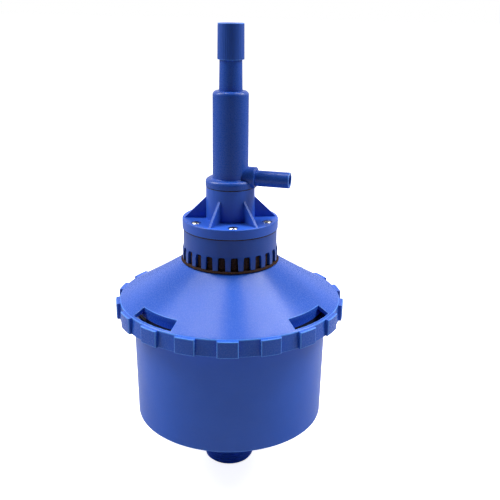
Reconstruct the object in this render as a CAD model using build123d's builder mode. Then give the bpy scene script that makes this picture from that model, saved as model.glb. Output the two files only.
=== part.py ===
from build123d import *
from math import cos, radians
import os

# A vacuum regulating valve of the remote-sensing diaphragm kind, in millimetres.
# The origin is the centre of the outlet spigot's end face. +Z runs up the axis to the knob,
# and +X lies along the sensing nipple. Angles are in degrees, counted from +X towards +Y.

# Fits and gaps
fit_gap = 0.05  # radial, where pieces are pressed or screwed together
running_gap = 0.08  # radial, where one piece turns or slides in another
soft_gap = 0.3  # between a soft piece and what it closes on or lies in
bayonet_gap = 0.3  # between the lid's ledges and the cup's cams
stop_gap = 0.3  # what is left at the end of a travel

# Outlet spigot: a union with a 1 1/4 in parallel pipe thread, drawn at its major diameter
spigot_r = 20.955
spigot_bore_r = 17.0
spigot_chamfer = 1.0
spigot_thread_length = 25.0
spigot_relief = 0.9
spigot_flange_reach = 5.9
spigot_flange_height = 3.0

# Lower cup
cup_bottom_z = 50.5
cup_height = 96.5
cup_rim_r = 80.6
cup_draft = 1.6
cup_wall = 3.0
cup_floor = 3.5
cup_edge_round = 1.2
cup_corner_round = 5.0
hub_wall = 6.9
hub_drop = 24.5
gusset_count = 8
gusset_thickness = 2.5
gusset_inset = 11.0

# Bayonet between cup and lid
bayonet_count = 4
bayonet_clocking = 63.4
cam_reach = 8.0
cam_width = 26.0
cam_height = 3.4
cam_stop_width = 2.2
ledge_height = 3.0
ledge_width = 26.0
ledge_clearance = 1.0

# Lid
lid_skirt_clearance = 1.2
lid_rim_wall = 2.9
lid_rim_draft = 1.1
lid_rim_height = 13.5
lid_wall = 3.0
lid_edge_round = 0.8
cone_rise = 32.4
cone_sag = 0.65
neck_edge = 1.5
neck_edge_round = 1.2
inner_skirt_inset = 0.6
window_width = 27.0
window_lip = 0.4  # of roof left around the opening, beside the rim and the inner skirt
inner_skirt_wall = 3.0
lug_count = 18
lug_clocking = 5.5
lug_reach = 2.2
lug_width = 9.9
lug_round = 0.9
web_count = 8
web_thickness = 2.0

# Gasket under the lid's inner skirt
gasket_thickness = 3.5

# Throat of the lid, with the foam's shelf and the valve seat's land
foam_pocket_step = 1.0
shelf_drop = 7.2
shelf_thickness = 3.0
throat_r = 26.7
throat_wall = 3.3
throat_depth = 14.0
seat_land_r = 21.0
seat_land_thickness = 3.0

# Valve seat
seat_bore_r = 17.0
seat_flange_height = 3.0
seat_lip_width = 2.4
seat_lip_height = 3.0
seat_ring_section_r = 0.8

# Valve plug, its seal and its stem
valve_lift = 5.0
plug_seal_thickness = 2.0
plug_r = 20.4
plug_thickness = 3.6
plug_hub_r = 8.0
plug_hub_height = 6.0
seal_washer_r = 12.0
seal_washer_thickness = 1.4
stem_r = 4.0
stem_thread_r = 2.5
nut_across_flats = 8.0
nut_height = 4.0
stem_end = 1.6
plug_clearance = 5.1

# Neck ring: comb of air slots, clamp plate, stem hub and the cage that the foam slides on
comb_lift = 1.7
comb_height = 24.8
comb_r = 38.2
comb_wall = 2.0
comb_flare = 0.9
comb_slot_height = 10.7
comb_flare_rise = 1.4
comb_flare_drop = 3.6
comb_slot_count = 24
comb_slot_clocking = 6.45
comb_slot_top_width = 5.5
comb_slot_bottom_width = 6.3
comb_slot_round = 1.5
clamp_plate_thickness = 7.2
diaphragm_well_depth = 4.2
stem_hub_r = 8.0
vent_count = 6
vent_r = 3.2
vent_circle_r = 15.5
cage_wall = 2.4
cage_window_count = 8
cage_window_width = 13.0
cage_window_sill = 3.0
cage_window_head = 0.6
bush_wall = 1.5

# Foam ring
foam_bulge_drop = 0.5

# Diaphragm and the plates that hold its middle
diaphragm_thickness = 1.0
diaphragm_rim_step = 0.4
diaphragm_free_r = 27.5
diaphragm_roll_gap = 0.6
diaphragm_middle_drop = 1.7
plate_r = 21.5
plate_thickness = 2.2
spring_cup_wall = 1.3
spring_cup_height = 3.0
plate_washer_r = 6.0
plate_washer_thickness = 1.0

# Cover over the diaphragm, with its ribs and screws
cover_step = 0.8
cover_thickness = 7.8
cover_edge_round = 0.9
boss_wall = 3.05
boss_draft = 0.3
boss_height = 25.4
spring_passage_r = 14.0
rib_count = 6
rib_clocking = 20.5
rib_thickness = 2.0
rib_foot_inset = 1.7
rib_height = 17.0
screw_count = 6
screw_clocking = 50.5
screw_circle_r = 32.3
screw_shank_r = 1.95
screw_length = 15.5
screw_head_r = 3.7
screw_head_height = 2.1
screw_recess_gap = 0.6
screw_recess_depth = 1.7
screw_boss_r = 4.2
screw_boss_drop = 5.6

# Spring tower and the gasket under its collar
tower_gasket_thickness = 0.9
tower_gasket_inset = 0.1
nose_wall = 5.5
nose_length = 11.0
collar_step = 0.4
collar_height = 6.2
collar_round = 3.0
tower_wall = 3.35
tower_draft = 0.25
tower_height = 68.7
tower_bore_r = 11.0
tower_roof = 4.7
tower_shoulder_round = 3.0
tower_foot_round = 1.0

# Sensing nipple and its boss on the tower
nipple_sill = 0.85
nipple_r = 6.35
nipple_wall = 1.85
nipple_length = 27.3
nipple_relief = 0.5
nipple_tenon_step = 0.45
nipple_socket_wall = 2.2
nipple_edge_round = 0.5
port_boss_wall = 2.5
port_boss_step = 1.5
port_boss_round = 0.6

# Regulating spring and its follower
spring_wire_r = 0.9
spring_r = 8.9
spring_turns = 9.0
follower_thickness = 9.0
follower_spigot_r = 7.6
follower_spigot_length = 5.0
follower_groove_height = 2.2
follower_groove_depth = 1.7
ball_r = 4.0
ball_gap = 4.0

# Adjuster: spindle and knob
adjust_travel = 19.5
spindle_thread_length = 16.5
spindle_neck_base_r = 9.2
spindle_neck_top_r = 8.75
spindle_shank_r = 6.4
knob_clearance = 4.0
knob_length = 26.7
knob_bottom_r = 10.4
knob_top_r = 10.15
knob_cap = 5.0
knob_edge_round = 0.5

# Heights that follow from the sizes above
hub_bottom_z = cup_bottom_z - hub_drop
cup_floor_z = cup_bottom_z + cup_floor
cup_rim_z = cup_bottom_z + cup_height
cam_bottom_z = cup_rim_z - cam_height
ledge_top_z = cam_bottom_z - bayonet_gap
lid_bottom_z = ledge_top_z - ledge_height
lid_rim_z = lid_bottom_z + lid_rim_height
gasket_bottom_z = cup_rim_z + soft_gap
inner_skirt_end_z = gasket_bottom_z + gasket_thickness
neck_z = lid_rim_z + cone_rise
shelf_z = neck_z - shelf_drop
throat_bottom_z = shelf_z - throat_depth
seat_land_z = throat_bottom_z + seat_land_thickness
seat_flange_top_z = seat_land_z + seat_flange_height
seat_lip_z = seat_flange_top_z + seat_lip_height
seal_bottom_z = seat_lip_z + soft_gap
plug_bottom_z = seal_bottom_z + plug_seal_thickness
plug_top_z = plug_bottom_z + plug_thickness
plug_hub_z = plug_top_z + plug_hub_height
stem_hub_bottom_z = plug_hub_z + valve_lift + plug_clearance
comb_tip_z = neck_z + comb_lift
comb_top_z = comb_tip_z + comb_height
comb_slot_top_z = comb_tip_z + comb_slot_height
comb_flare_top_z = comb_slot_top_z + comb_flare_rise
comb_flare_bottom_z = comb_slot_top_z - comb_flare_drop
clamp_plate_bottom_z = comb_top_z - clamp_plate_thickness
well_floor_z = comb_top_z - diaphragm_well_depth
foam_top_z = clamp_plate_bottom_z - screw_boss_drop - soft_gap
foam_bulge_top_z = comb_tip_z - foam_bulge_drop
cage_window_bottom_z = shelf_z + cage_window_sill
cage_window_top_z = foam_top_z - cage_window_head
cover_bottom_z = comb_top_z + diaphragm_thickness
cover_top_z = cover_bottom_z + cover_thickness
boss_top_z = cover_top_z + boss_height
diaphragm_middle_z = comb_top_z - diaphragm_middle_drop
lower_plate_z = diaphragm_middle_z - plate_thickness
upper_plate_z = diaphragm_middle_z + diaphragm_thickness
spring_foot_z = upper_plate_z + plate_thickness
cavity_roof_z = spring_foot_z + valve_lift + stop_gap
nose_bottom_z = boss_top_z - nose_length
collar_bottom_z = boss_top_z + tower_gasket_thickness
collar_top_z = collar_bottom_z + collar_height
nipple_z = collar_bottom_z + nipple_r + nipple_sill
tower_top_z = collar_top_z + tower_height
tower_bore_top_z = tower_top_z - tower_roof
spindle_collar_z = tower_bore_top_z - stop_gap
spindle_bottom_z = spindle_collar_z - spindle_thread_length
ball_z = spindle_bottom_z - ball_gap / 2
follower_top_z = spindle_bottom_z - ball_gap
follower_bottom_z = follower_top_z - follower_thickness
follower_groove_z = follower_bottom_z + follower_thickness / 2
knob_bottom_z = tower_top_z + adjust_travel + knob_clearance
knob_top_z = knob_bottom_z + knob_length

# Radii that follow from the sizes above
spigot_shank_r = spigot_r - spigot_relief
spigot_hole_r = spigot_shank_r + fit_gap
spigot_flange_r = spigot_hole_r + spigot_flange_reach
hub_r = spigot_hole_r + hub_wall
cup_bottom_r = cup_rim_r - cup_draft
gusset_reach_r = cup_bottom_r - gusset_inset
cam_reach_r = cup_rim_r + cam_reach
ledge_r = cup_rim_r + ledge_clearance
lid_skirt_r = cam_reach_r + lid_skirt_clearance
lid_rim_bottom_r = lid_skirt_r + lid_rim_wall
lid_rim_top_r = lid_rim_bottom_r - lid_rim_draft
lug_r = lid_rim_bottom_r + lug_reach
window_inner_r = cup_rim_r - inner_skirt_inset
skirt_inner_r = window_inner_r - inner_skirt_wall
comb_inner_r = comb_r - comb_wall
comb_tip_r = comb_r + comb_flare
foam_pocket_r = comb_inner_r + foam_pocket_step
neck_r = foam_pocket_r + neck_edge
diaphragm_rim_r = comb_r + diaphragm_rim_step
cover_r = comb_r + cover_step
rib_foot_r = cover_r - rib_foot_inset
screw_recess_r = screw_head_r + screw_recess_gap
cage_r = throat_r - fit_gap
cage_inner_r = cage_r - cage_wall
bush_bore_r = stem_r + running_gap
bush_r = bush_bore_r + bush_wall
nose_r = tower_bore_r + nose_wall
nose_hole_r = nose_r + fit_gap
boss_top_r = nose_hole_r + boss_wall
boss_base_r = boss_top_r + boss_draft
collar_r = boss_top_r + collar_step
tower_base_r = tower_bore_r + tower_wall
tower_top_r = tower_base_r - tower_draft
slide_r = tower_bore_r - running_gap
spindle_hole_r = spindle_neck_base_r + stop_gap
ball_pocket_r = ball_r + running_gap
port_boss_r = nipple_r + port_boss_wall
port_boss_start_r = tower_bore_r + 1.0
nipple_bore_r = nipple_r - nipple_wall
nipple_tenon_r = nipple_r - nipple_tenon_step
nipple_socket_r = nipple_tenon_r + fit_gap
nipple_socket_floor = tower_bore_r + nipple_socket_wall
port_boss_reach = collar_r + port_boss_step
nipple_tube_x = port_boss_reach + nipple_relief
nipple_reach = port_boss_reach + nipple_length


# Functions that several pieces share
def cone_height(radius):
    """Height of the lid's slightly hollow cone at a radius."""
    share = (lid_rim_top_r - radius) / (lid_rim_top_r - neck_r)
    return lid_rim_z + share * cone_rise - 4 * cone_sag * share * (1 - share)


def cone_pull(outer_r, inner_r):
    """Radius and height of the curve's control point for a stretch of the cone."""
    middle_r = (outer_r + inner_r) / 2
    return middle_r, 2 * cone_height(middle_r) - (cone_height(outer_r) + cone_height(inner_r)) / 2


def corner(profile, across, up):
    """The corner of an open sketch that lies nearest to a point."""
    return profile.vertices().sort_by_distance((across, up))[0]


def sector_block(inner_r, outer_r, bottom_z, top_z, width):
    """A length of square-edged ring, width degrees long, with its middle on +X."""
    with BuildPart() as block:
        with BuildSketch(Plane.XZ):
            with Locations(((inner_r + outer_r) / 2, (bottom_z + top_z) / 2)):
                Rectangle(outer_r - inner_r, top_z - bottom_z)
        revolve(axis=Axis.Z, revolution_arc=width)
    return block.part.rotate(Axis.Z, -width / 2)


def hex_nut(across_flats, hole_r, bottom_z, height):
    """A hexagon nut on the axis with its thread bored to the major diameter."""
    with BuildPart() as nut:
        with BuildSketch(Plane.XY.offset(bottom_z)):
            RegularPolygon(across_flats / 2, 6, major_radius=False)
            Circle(hole_r, mode=Mode.SUBTRACT)
        extrude(amount=height)
    return nut


def flat_ring(inner_r, outer_r, bottom_z, thickness):
    """A flat washer, gasket or bush on the axis."""
    with BuildPart() as ring:
        with BuildSketch(Plane.XY.offset(bottom_z)):
            Circle(outer_r)
            Circle(inner_r, mode=Mode.SUBTRACT)
        extrude(amount=thickness)
    return ring


def save(piece, name):
    """Labels a finished piece and writes it to the file of its own name."""
    piece.part.label = name
    export_step(piece.part, f"parts/{name}.step")


os.makedirs("parts", exist_ok=True)

# Outlet spigot, bonded into the cup's hub from inside
with BuildPart() as outlet_spigot:
    with BuildSketch(Plane.XZ) as spigot_profile:
        with BuildLine():
            Polyline(
                (spigot_bore_r, 0),
                (spigot_r, 0),
                (spigot_r, spigot_thread_length),
                (spigot_shank_r, spigot_thread_length),
                (spigot_shank_r, cup_floor_z),
                (spigot_flange_r, cup_floor_z),
                (spigot_flange_r, cup_floor_z + spigot_flange_height),
                (spigot_bore_r, cup_floor_z + spigot_flange_height),
                close=True,
            )
        make_face()
        chamfer(corner(spigot_profile, spigot_r, 0), spigot_chamfer)
    revolve(axis=Axis.Z)
save(outlet_spigot, "outlet_spigot")

# Lower cup with its hub, gussets, bayonet cams and their stops
cam = sector_block(cup_rim_r - cup_wall / 2, cam_reach_r, cam_bottom_z, cup_rim_z, cam_width)
cam_stop = sector_block(
    cup_rim_r - cup_wall / 2, cam_reach_r, lid_bottom_z, cup_rim_z, cam_stop_width
)
cam_stop_turn = (cam_width + cam_stop_width) / 2

with BuildPart() as cup_gusset:
    with BuildSketch(Plane.XZ):
        with BuildLine():
            Polyline(
                (hub_r - 1, hub_bottom_z + 2),
                (hub_r, hub_bottom_z + 2),
                (gusset_reach_r, cup_bottom_z),
                (gusset_reach_r, cup_bottom_z + 1),
                (hub_r - 1, cup_bottom_z + 1),
                close=True,
            )
        make_face()
    extrude(amount=gusset_thickness / 2, both=True)

with BuildPart() as lower_cup:
    with BuildSketch(Plane.XZ) as cup_profile:
        with BuildLine():
            Polyline(
                (spigot_hole_r, hub_bottom_z),
                (hub_r, hub_bottom_z),
                (hub_r, cup_bottom_z),
                (cup_bottom_r, cup_bottom_z),
                (cup_rim_r, cup_rim_z),
                (cup_rim_r - cup_wall, cup_rim_z),
                (cup_bottom_r - cup_wall, cup_floor_z),
                (spigot_hole_r, cup_floor_z),
                close=True,
            )
        make_face()
        fillet(corner(cup_profile, cup_bottom_r, cup_bottom_z), cup_edge_round)
        fillet(corner(cup_profile, cup_bottom_r - cup_wall, cup_floor_z), cup_corner_round)
    revolve(axis=Axis.Z)
    with PolarLocations(0, gusset_count):
        add(cup_gusset.part)
    with PolarLocations(0, bayonet_count, start_angle=bayonet_clocking):
        add(cam)
    with PolarLocations(0, bayonet_count, start_angle=bayonet_clocking - cam_stop_turn):
        add(cam_stop)
save(lower_cup, "lower_cup")

# Lid: cone, rim, grip lugs, windows, bayonet ledges, inner skirt and throat
wall_drop = lid_wall / cos(radians(31.5))
pocket_wall_r = foam_pocket_r + lid_wall
shelf_underside_z = shelf_z - shelf_thickness
pocket_top_z = cone_height(pocket_wall_r) - wall_drop
skirt_top_z = cone_height(skirt_inner_r) - wall_drop
underside_pull = Vector(cone_pull(pocket_wall_r, skirt_inner_r)) - Vector(0, wall_drop)

with BuildPart() as grip_lug:
    with BuildSketch(Plane.XZ):
        with Locations(((lid_skirt_r + 1 + lug_r) / 2, (lid_bottom_z + lid_rim_z) / 2)):
            Rectangle(lug_r - lid_skirt_r - 1, lid_rim_height)
    revolve(axis=Axis.Z, revolution_arc=lug_width)
    lug_face = grip_lug.faces().filter_by(GeomType.CYLINDER).sort_by(SortBy.AREA)[-1]
    fillet(lug_face.edges(), lug_round)
centred_lug = grip_lug.part.rotate(Axis.Z, -lug_width / 2)

with BuildPart() as lid_web:
    with BuildSketch(Plane.XZ):
        with BuildLine():
            Polyline(
                (throat_r + 1, shelf_underside_z + 1),
                (throat_r + 1, throat_bottom_z + 2),
                (throat_r + throat_wall, throat_bottom_z + 2),
                (skirt_inner_r + 1, inner_skirt_end_z + 1),
                (skirt_inner_r + 1, cone_height(skirt_inner_r + 1) - wall_drop / 2),
                (pocket_wall_r - 1, cone_height(pocket_wall_r - 1) - wall_drop / 2),
                (pocket_wall_r - 1, shelf_underside_z + 1),
                close=True,
            )
        make_face()
    extrude(amount=web_thickness / 2, both=True)

with BuildPart() as lid:
    with BuildSketch(Plane.XZ) as lid_profile:
        with BuildLine():
            Polyline(
                (lid_skirt_r, cone_height(lid_skirt_r) - wall_drop),
                (lid_skirt_r, lid_bottom_z),
                (lid_rim_bottom_r, lid_bottom_z),
                (lid_rim_top_r, lid_rim_z),
            )
            Bezier((lid_rim_top_r, lid_rim_z), cone_pull(lid_rim_top_r, neck_r), (neck_r, neck_z))
            Polyline(
                (neck_r, neck_z),
                (foam_pocket_r, neck_z - neck_edge_round),
                (foam_pocket_r, shelf_z),
                (throat_r, shelf_z),
                (throat_r, seat_land_z),
                (seat_land_r, seat_land_z),
                (seat_land_r, throat_bottom_z),
                (throat_r + throat_wall, throat_bottom_z),
                (throat_r + throat_wall, shelf_underside_z),
                (pocket_wall_r, shelf_underside_z),
                (pocket_wall_r, pocket_top_z),
            )
            Bezier((pocket_wall_r, pocket_top_z), underside_pull, (skirt_inner_r, skirt_top_z))
            Polyline(
                (skirt_inner_r, skirt_top_z),
                (skirt_inner_r, inner_skirt_end_z),
                (window_inner_r, inner_skirt_end_z),
                (window_inner_r, cone_height(window_inner_r) - wall_drop),
                (lid_skirt_r, cone_height(lid_skirt_r) - wall_drop),
            )
        make_face()
        fillet(corner(lid_profile, lid_rim_top_r, lid_rim_z), lid_edge_round)
        fillet(corner(lid_profile, neck_r, neck_z), neck_edge_round)
    revolve(axis=Axis.Z)
    with PolarLocations(0, lug_count, start_angle=lug_clocking):
        add(centred_lug)
    with PolarLocations(0, web_count, start_angle=bayonet_clocking):
        add(lid_web.part)
    with PolarLocations(0, bayonet_count, start_angle=bayonet_clocking):
        add(
            sector_block(
                window_inner_r + window_lip,
                lid_skirt_r - window_lip,
                inner_skirt_end_z - 1,
                neck_z,
                window_width,
            ),
            mode=Mode.SUBTRACT,
        )
        add(sector_block(ledge_r, lid_skirt_r + 1, lid_bottom_z, ledge_top_z, ledge_width))
save(lid, "lid")

# Gasket that closes the lid's inner skirt on the cup's rim
lid_gasket = flat_ring(skirt_inner_r, window_inner_r, gasket_bottom_z, gasket_thickness)
save(lid_gasket, "lid_gasket")

# Valve seat with a rounded lip, held down by the cage's end
seat_r = throat_r - fit_gap
seat_groove_depth = 2 * seat_ring_section_r

with BuildPart() as valve_seat:
    with BuildSketch(Plane.XZ) as seat_profile:
        with BuildLine():
            Polyline(
                (seat_bore_r, seat_land_z),
                (seat_r, seat_land_z),
                (seat_r, seat_flange_top_z),
                (seat_bore_r + seat_lip_width, seat_flange_top_z),
                (seat_bore_r + seat_lip_width, seat_lip_z),
                (seat_bore_r, seat_lip_z),
                close=True,
            )
        make_face()
        fillet(corner(seat_profile, seat_bore_r + seat_lip_width, seat_lip_z), seat_lip_width / 3)
        fillet(corner(seat_profile, seat_bore_r, seat_lip_z), seat_lip_width / 3)
        with Locations((seat_r - seat_groove_depth / 2, seat_land_z + seat_flange_height / 2)):
            Rectangle(seat_groove_depth, 2 * seat_ring_section_r + fit_gap, mode=Mode.SUBTRACT)
    revolve(axis=Axis.Z)
save(valve_seat, "valve_seat")

with BuildPart() as seat_oring:
    with BuildSketch(Plane.XZ):
        with Locations((seat_r - seat_ring_section_r, seat_land_z + seat_flange_height / 2)):
            Circle(seat_ring_section_r - fit_gap)
    revolve(axis=Axis.Z)
save(seat_oring, "seat_oring")

# Valve plug, its rubber face and what clamps the face to it
stem_hole_r = stem_thread_r + fit_gap

with BuildPart() as valve_plug:
    with BuildSketch(Plane.XZ) as plug_profile:
        with BuildLine():
            Polyline(
                (stem_hole_r, plug_bottom_z),
                (plug_r, plug_bottom_z),
                (plug_r, plug_top_z),
                (plug_hub_r + plug_hub_height, plug_top_z),
                (plug_hub_r, plug_hub_z),
                (stem_hole_r, plug_hub_z),
                close=True,
            )
        make_face()
        fillet(corner(plug_profile, plug_r, plug_top_z), plug_thickness / 3)
    revolve(axis=Axis.Z)
save(valve_plug, "valve_plug")

plug_seal = flat_ring(stem_hole_r, plug_r, seal_bottom_z, plug_seal_thickness)
save(plug_seal, "plug_seal")

seal_washer_z = seal_bottom_z - seal_washer_thickness
seal_washer = flat_ring(stem_hole_r, seal_washer_r, seal_washer_z, seal_washer_thickness)
save(seal_washer, "seal_washer")

seal_nut_z = seal_washer_z - nut_height
seal_nut = hex_nut(nut_across_flats, stem_hole_r, seal_nut_z, nut_height)
save(seal_nut, "seal_nut")

# Valve stem, thick between the plug and the diaphragm and threaded at both ends
stem_bottom_z = seal_nut_z - stem_end
plate_nut_z = spring_foot_z + plate_washer_thickness
stem_top_z = plate_nut_z + nut_height + stem_end

with BuildPart() as valve_stem:
    with BuildSketch(Plane.XZ) as stem_profile:
        with BuildLine():
            Polyline(
                (0, stem_bottom_z),
                (stem_thread_r, stem_bottom_z),
                (stem_thread_r, plug_hub_z),
                (stem_r, plug_hub_z),
                (stem_r, lower_plate_z),
                (stem_thread_r, lower_plate_z),
                (stem_thread_r, stem_top_z),
                (0, stem_top_z),
                close=True,
            )
        make_face()
        chamfer(corner(stem_profile, stem_thread_r, stem_bottom_z), stem_thread_r / 4)
        chamfer(corner(stem_profile, stem_thread_r, stem_top_z), stem_thread_r / 4)
    revolve(axis=Axis.Z)
save(valve_stem, "valve_stem")

stem_bush = flat_ring(
    bush_bore_r, bush_r, stem_hub_bottom_z, well_floor_z - stem_hub_bottom_z
)
save(stem_bush, "stem_bush")

# Neck ring: the comb, its clamp plate and the cage that screws into the lid's throat
with BuildPart() as comb_slot:
    with BuildSketch(Plane.YZ.offset(comb_tip_r + 1)) as slot_profile:
        with BuildLine():
            Polyline(
                (-comb_slot_bottom_width / 2, comb_tip_z - 1),
                (comb_slot_bottom_width / 2, comb_tip_z - 1),
                (comb_slot_top_width / 2, comb_slot_top_z),
                (-comb_slot_top_width / 2, comb_slot_top_z),
                close=True,
            )
        make_face()
        fillet(slot_profile.vertices().group_by(Axis.Y)[-1], comb_slot_round)
    extrude(amount=comb_inner_r - comb_tip_r - 2)

with BuildPart() as neck_ring:
    with BuildSketch(Plane.XZ):
        with BuildLine():
            Polyline(
                (comb_r, comb_flare_top_z),
                (comb_r, comb_top_z),
                (diaphragm_free_r, comb_top_z),
                (diaphragm_free_r, well_floor_z),
                (bush_r + fit_gap, well_floor_z),
                (bush_r + fit_gap, stem_hub_bottom_z),
                (stem_hub_r, stem_hub_bottom_z),
                (stem_hub_r, clamp_plate_bottom_z),
                (cage_inner_r, clamp_plate_bottom_z),
                (cage_inner_r, seat_flange_top_z),
                (cage_r, seat_flange_top_z),
                (cage_r, clamp_plate_bottom_z),
                (comb_inner_r, clamp_plate_bottom_z),
                (comb_inner_r, comb_tip_z),
                (comb_tip_r, comb_tip_z),
                (comb_tip_r, comb_flare_bottom_z),
                close=True,
            )
        make_face()
    revolve(axis=Axis.Z)
    with BuildSketch(Plane.XY.offset(clamp_plate_bottom_z)):
        with PolarLocations(screw_circle_r, screw_count, start_angle=screw_clocking):
            Circle(screw_boss_r)
    extrude(amount=-screw_boss_drop)
    with BuildSketch(Plane.XY.offset(cover_top_z - screw_recess_depth)):
        with PolarLocations(screw_circle_r, screw_count, start_angle=screw_clocking):
            Circle(screw_shank_r + fit_gap)
    extrude(amount=-screw_length, mode=Mode.SUBTRACT)
    with BuildSketch(Plane.XY.offset(clamp_plate_bottom_z)):
        with PolarLocations(vent_circle_r, vent_count, start_angle=screw_clocking):
            Circle(vent_r)
    extrude(amount=clamp_plate_thickness, mode=Mode.SUBTRACT)
    with BuildSketch(Plane.YZ):
        with Locations((0, (cage_window_bottom_z + cage_window_top_z) / 2)):
            Rectangle(cage_window_width, cage_window_top_z - cage_window_bottom_z)
    cage_window = extrude(amount=cage_r + 1, mode=Mode.PRIVATE)
    with PolarLocations(0, cage_window_count, start_angle=comb_slot_clocking):
        add(cage_window, mode=Mode.SUBTRACT)
    with PolarLocations(0, comb_slot_count, start_angle=comb_slot_clocking):
        add(comb_slot.part, mode=Mode.SUBTRACT)
save(neck_ring, "neck_ring")

# Foam ring on the cage, squeezed inside the comb and full below it
with BuildPart() as neck_filter:
    with BuildSketch(Plane.XZ) as foam_profile:
        with BuildLine():
            Polyline(
                (cage_r + soft_gap, shelf_z),
                (foam_pocket_r - soft_gap, shelf_z),
                (foam_pocket_r - soft_gap, foam_bulge_top_z),
                (comb_inner_r - soft_gap, foam_bulge_top_z),
                (comb_inner_r - soft_gap, foam_top_z),
                (cage_r + soft_gap, foam_top_z),
                close=True,
            )
        make_face()
        fillet(corner(foam_profile, foam_pocket_r - soft_gap, foam_bulge_top_z), soft_gap * 2)
    revolve(axis=Axis.Z)
save(neck_filter, "neck_filter")

# Diaphragm, clamped at its rim and rolled up once between rim and plates
roll_inner_r = plate_r + diaphragm_roll_gap
roll_middle_r = (diaphragm_free_r + roll_inner_r) / 2
roll_r = (diaphragm_free_r - roll_inner_r) / 2

with BuildPart() as main_diaphragm:
    with BuildSketch(Plane.XZ):
        with BuildLine():
            Polyline(
                (diaphragm_free_r - diaphragm_thickness, cover_bottom_z),
                (diaphragm_free_r - diaphragm_thickness, comb_top_z),
                (diaphragm_rim_r, comb_top_z),
                (diaphragm_rim_r, cover_bottom_z),
                (diaphragm_free_r, cover_bottom_z),
            )
            ThreePointArc(
                (diaphragm_free_r, cover_bottom_z),
                (roll_middle_r, cover_bottom_z + roll_r),
                (roll_inner_r, cover_bottom_z),
            )
            Polyline(
                (roll_inner_r, cover_bottom_z),
                (roll_inner_r, upper_plate_z),
                (stem_hole_r, upper_plate_z),
                (stem_hole_r, diaphragm_middle_z),
                (roll_inner_r + diaphragm_thickness, diaphragm_middle_z),
                (roll_inner_r + diaphragm_thickness, cover_bottom_z),
            )
            ThreePointArc(
                (roll_inner_r + diaphragm_thickness, cover_bottom_z),
                (roll_middle_r, cover_bottom_z + roll_r - diaphragm_thickness),
                (diaphragm_free_r - diaphragm_thickness, cover_bottom_z),
            )
        make_face()
    revolve(axis=Axis.Z)
    with BuildSketch(Plane.XY.offset(comb_top_z)):
        with PolarLocations(screw_circle_r, screw_count, start_angle=screw_clocking):
            Circle(screw_shank_r + fit_gap)
    extrude(amount=diaphragm_thickness, mode=Mode.SUBTRACT)
save(main_diaphragm, "main_diaphragm")

with BuildPart() as diaphragm_plate_lower:
    with BuildSketch(Plane.XZ) as lower_plate_profile:
        with BuildLine():
            Polyline(
                (stem_hole_r, lower_plate_z),
                (plate_r, lower_plate_z),
                (plate_r, diaphragm_middle_z),
                (stem_hole_r, diaphragm_middle_z),
                close=True,
            )
        make_face()
        fillet(corner(lower_plate_profile, plate_r, lower_plate_z), plate_thickness / 2)
    revolve(axis=Axis.Z)
save(diaphragm_plate_lower, "diaphragm_plate_lower")

# Upper plate with the low wall that centres the spring's foot
spring_cup_r = spring_r + spring_wire_r + soft_gap

with BuildPart() as diaphragm_plate_upper:
    with BuildSketch(Plane.XZ) as upper_plate_profile:
        with BuildLine():
            Polyline(
                (stem_hole_r, upper_plate_z),
                (plate_r, upper_plate_z),
                (plate_r, spring_foot_z),
                (spring_cup_r + spring_cup_wall, spring_foot_z),
                (spring_cup_r + spring_cup_wall, spring_foot_z + spring_cup_height),
                (spring_cup_r, spring_foot_z + spring_cup_height),
                (spring_cup_r, spring_foot_z),
                (stem_hole_r, spring_foot_z),
                close=True,
            )
        make_face()
        fillet(corner(upper_plate_profile, plate_r, spring_foot_z), plate_thickness / 2)
    revolve(axis=Axis.Z)
save(diaphragm_plate_upper, "diaphragm_plate_upper")

plate_washer = flat_ring(stem_hole_r, plate_washer_r, spring_foot_z, plate_washer_thickness)
save(plate_washer, "plate_washer")

plate_nut = hex_nut(nut_across_flats, stem_hole_r, plate_nut_z, nut_height)
save(plate_nut, "plate_nut")

# Cover over the diaphragm: flange, boss, ribs and recessed screw holes
with BuildPart() as cover_rib:
    with BuildSketch(Plane.XZ):
        with BuildLine():
            Polyline(
                (boss_top_r - 1, cover_top_z - 1),
                (rib_foot_r, cover_top_z - 1),
                (rib_foot_r, cover_top_z),
                (boss_top_r, cover_top_z + rib_height),
                (boss_top_r - 1, cover_top_z + rib_height),
                close=True,
            )
        make_face()
    extrude(amount=rib_thickness / 2, both=True)

with BuildPart() as diaphragm_cover:
    with BuildSketch(Plane.XZ) as cover_profile:
        with BuildLine():
            Polyline(
                (diaphragm_free_r, cover_bottom_z),
                (cover_r, cover_bottom_z),
                (cover_r, cover_top_z),
                (boss_base_r, cover_top_z),
                (boss_top_r, boss_top_z),
                (nose_hole_r, boss_top_z),
                (nose_hole_r, nose_bottom_z),
                (spring_passage_r, nose_bottom_z),
                (spring_passage_r, cavity_roof_z),
                (diaphragm_free_r, cavity_roof_z),
                close=True,
            )
        make_face()
        fillet(corner(cover_profile, cover_r, cover_top_z), cover_edge_round)
    revolve(axis=Axis.Z)
    with PolarLocations(0, rib_count, start_angle=rib_clocking):
        add(cover_rib.part)
    with BuildSketch(Plane.XY.offset(cover_top_z)):
        with PolarLocations(screw_circle_r, screw_count, start_angle=screw_clocking):
            Circle(screw_recess_r)
    extrude(amount=-screw_recess_depth, mode=Mode.SUBTRACT)
    with BuildSketch(Plane.XY.offset(cover_top_z)):
        with PolarLocations(screw_circle_r, screw_count, start_angle=screw_clocking):
            Circle(screw_shank_r + fit_gap)
    extrude(amount=-cover_thickness, mode=Mode.SUBTRACT)
save(diaphragm_cover, "diaphragm_cover")

# Six pan-head screws through cover and diaphragm into the neck ring
screw_seat_z = cover_top_z - screw_recess_depth

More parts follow.
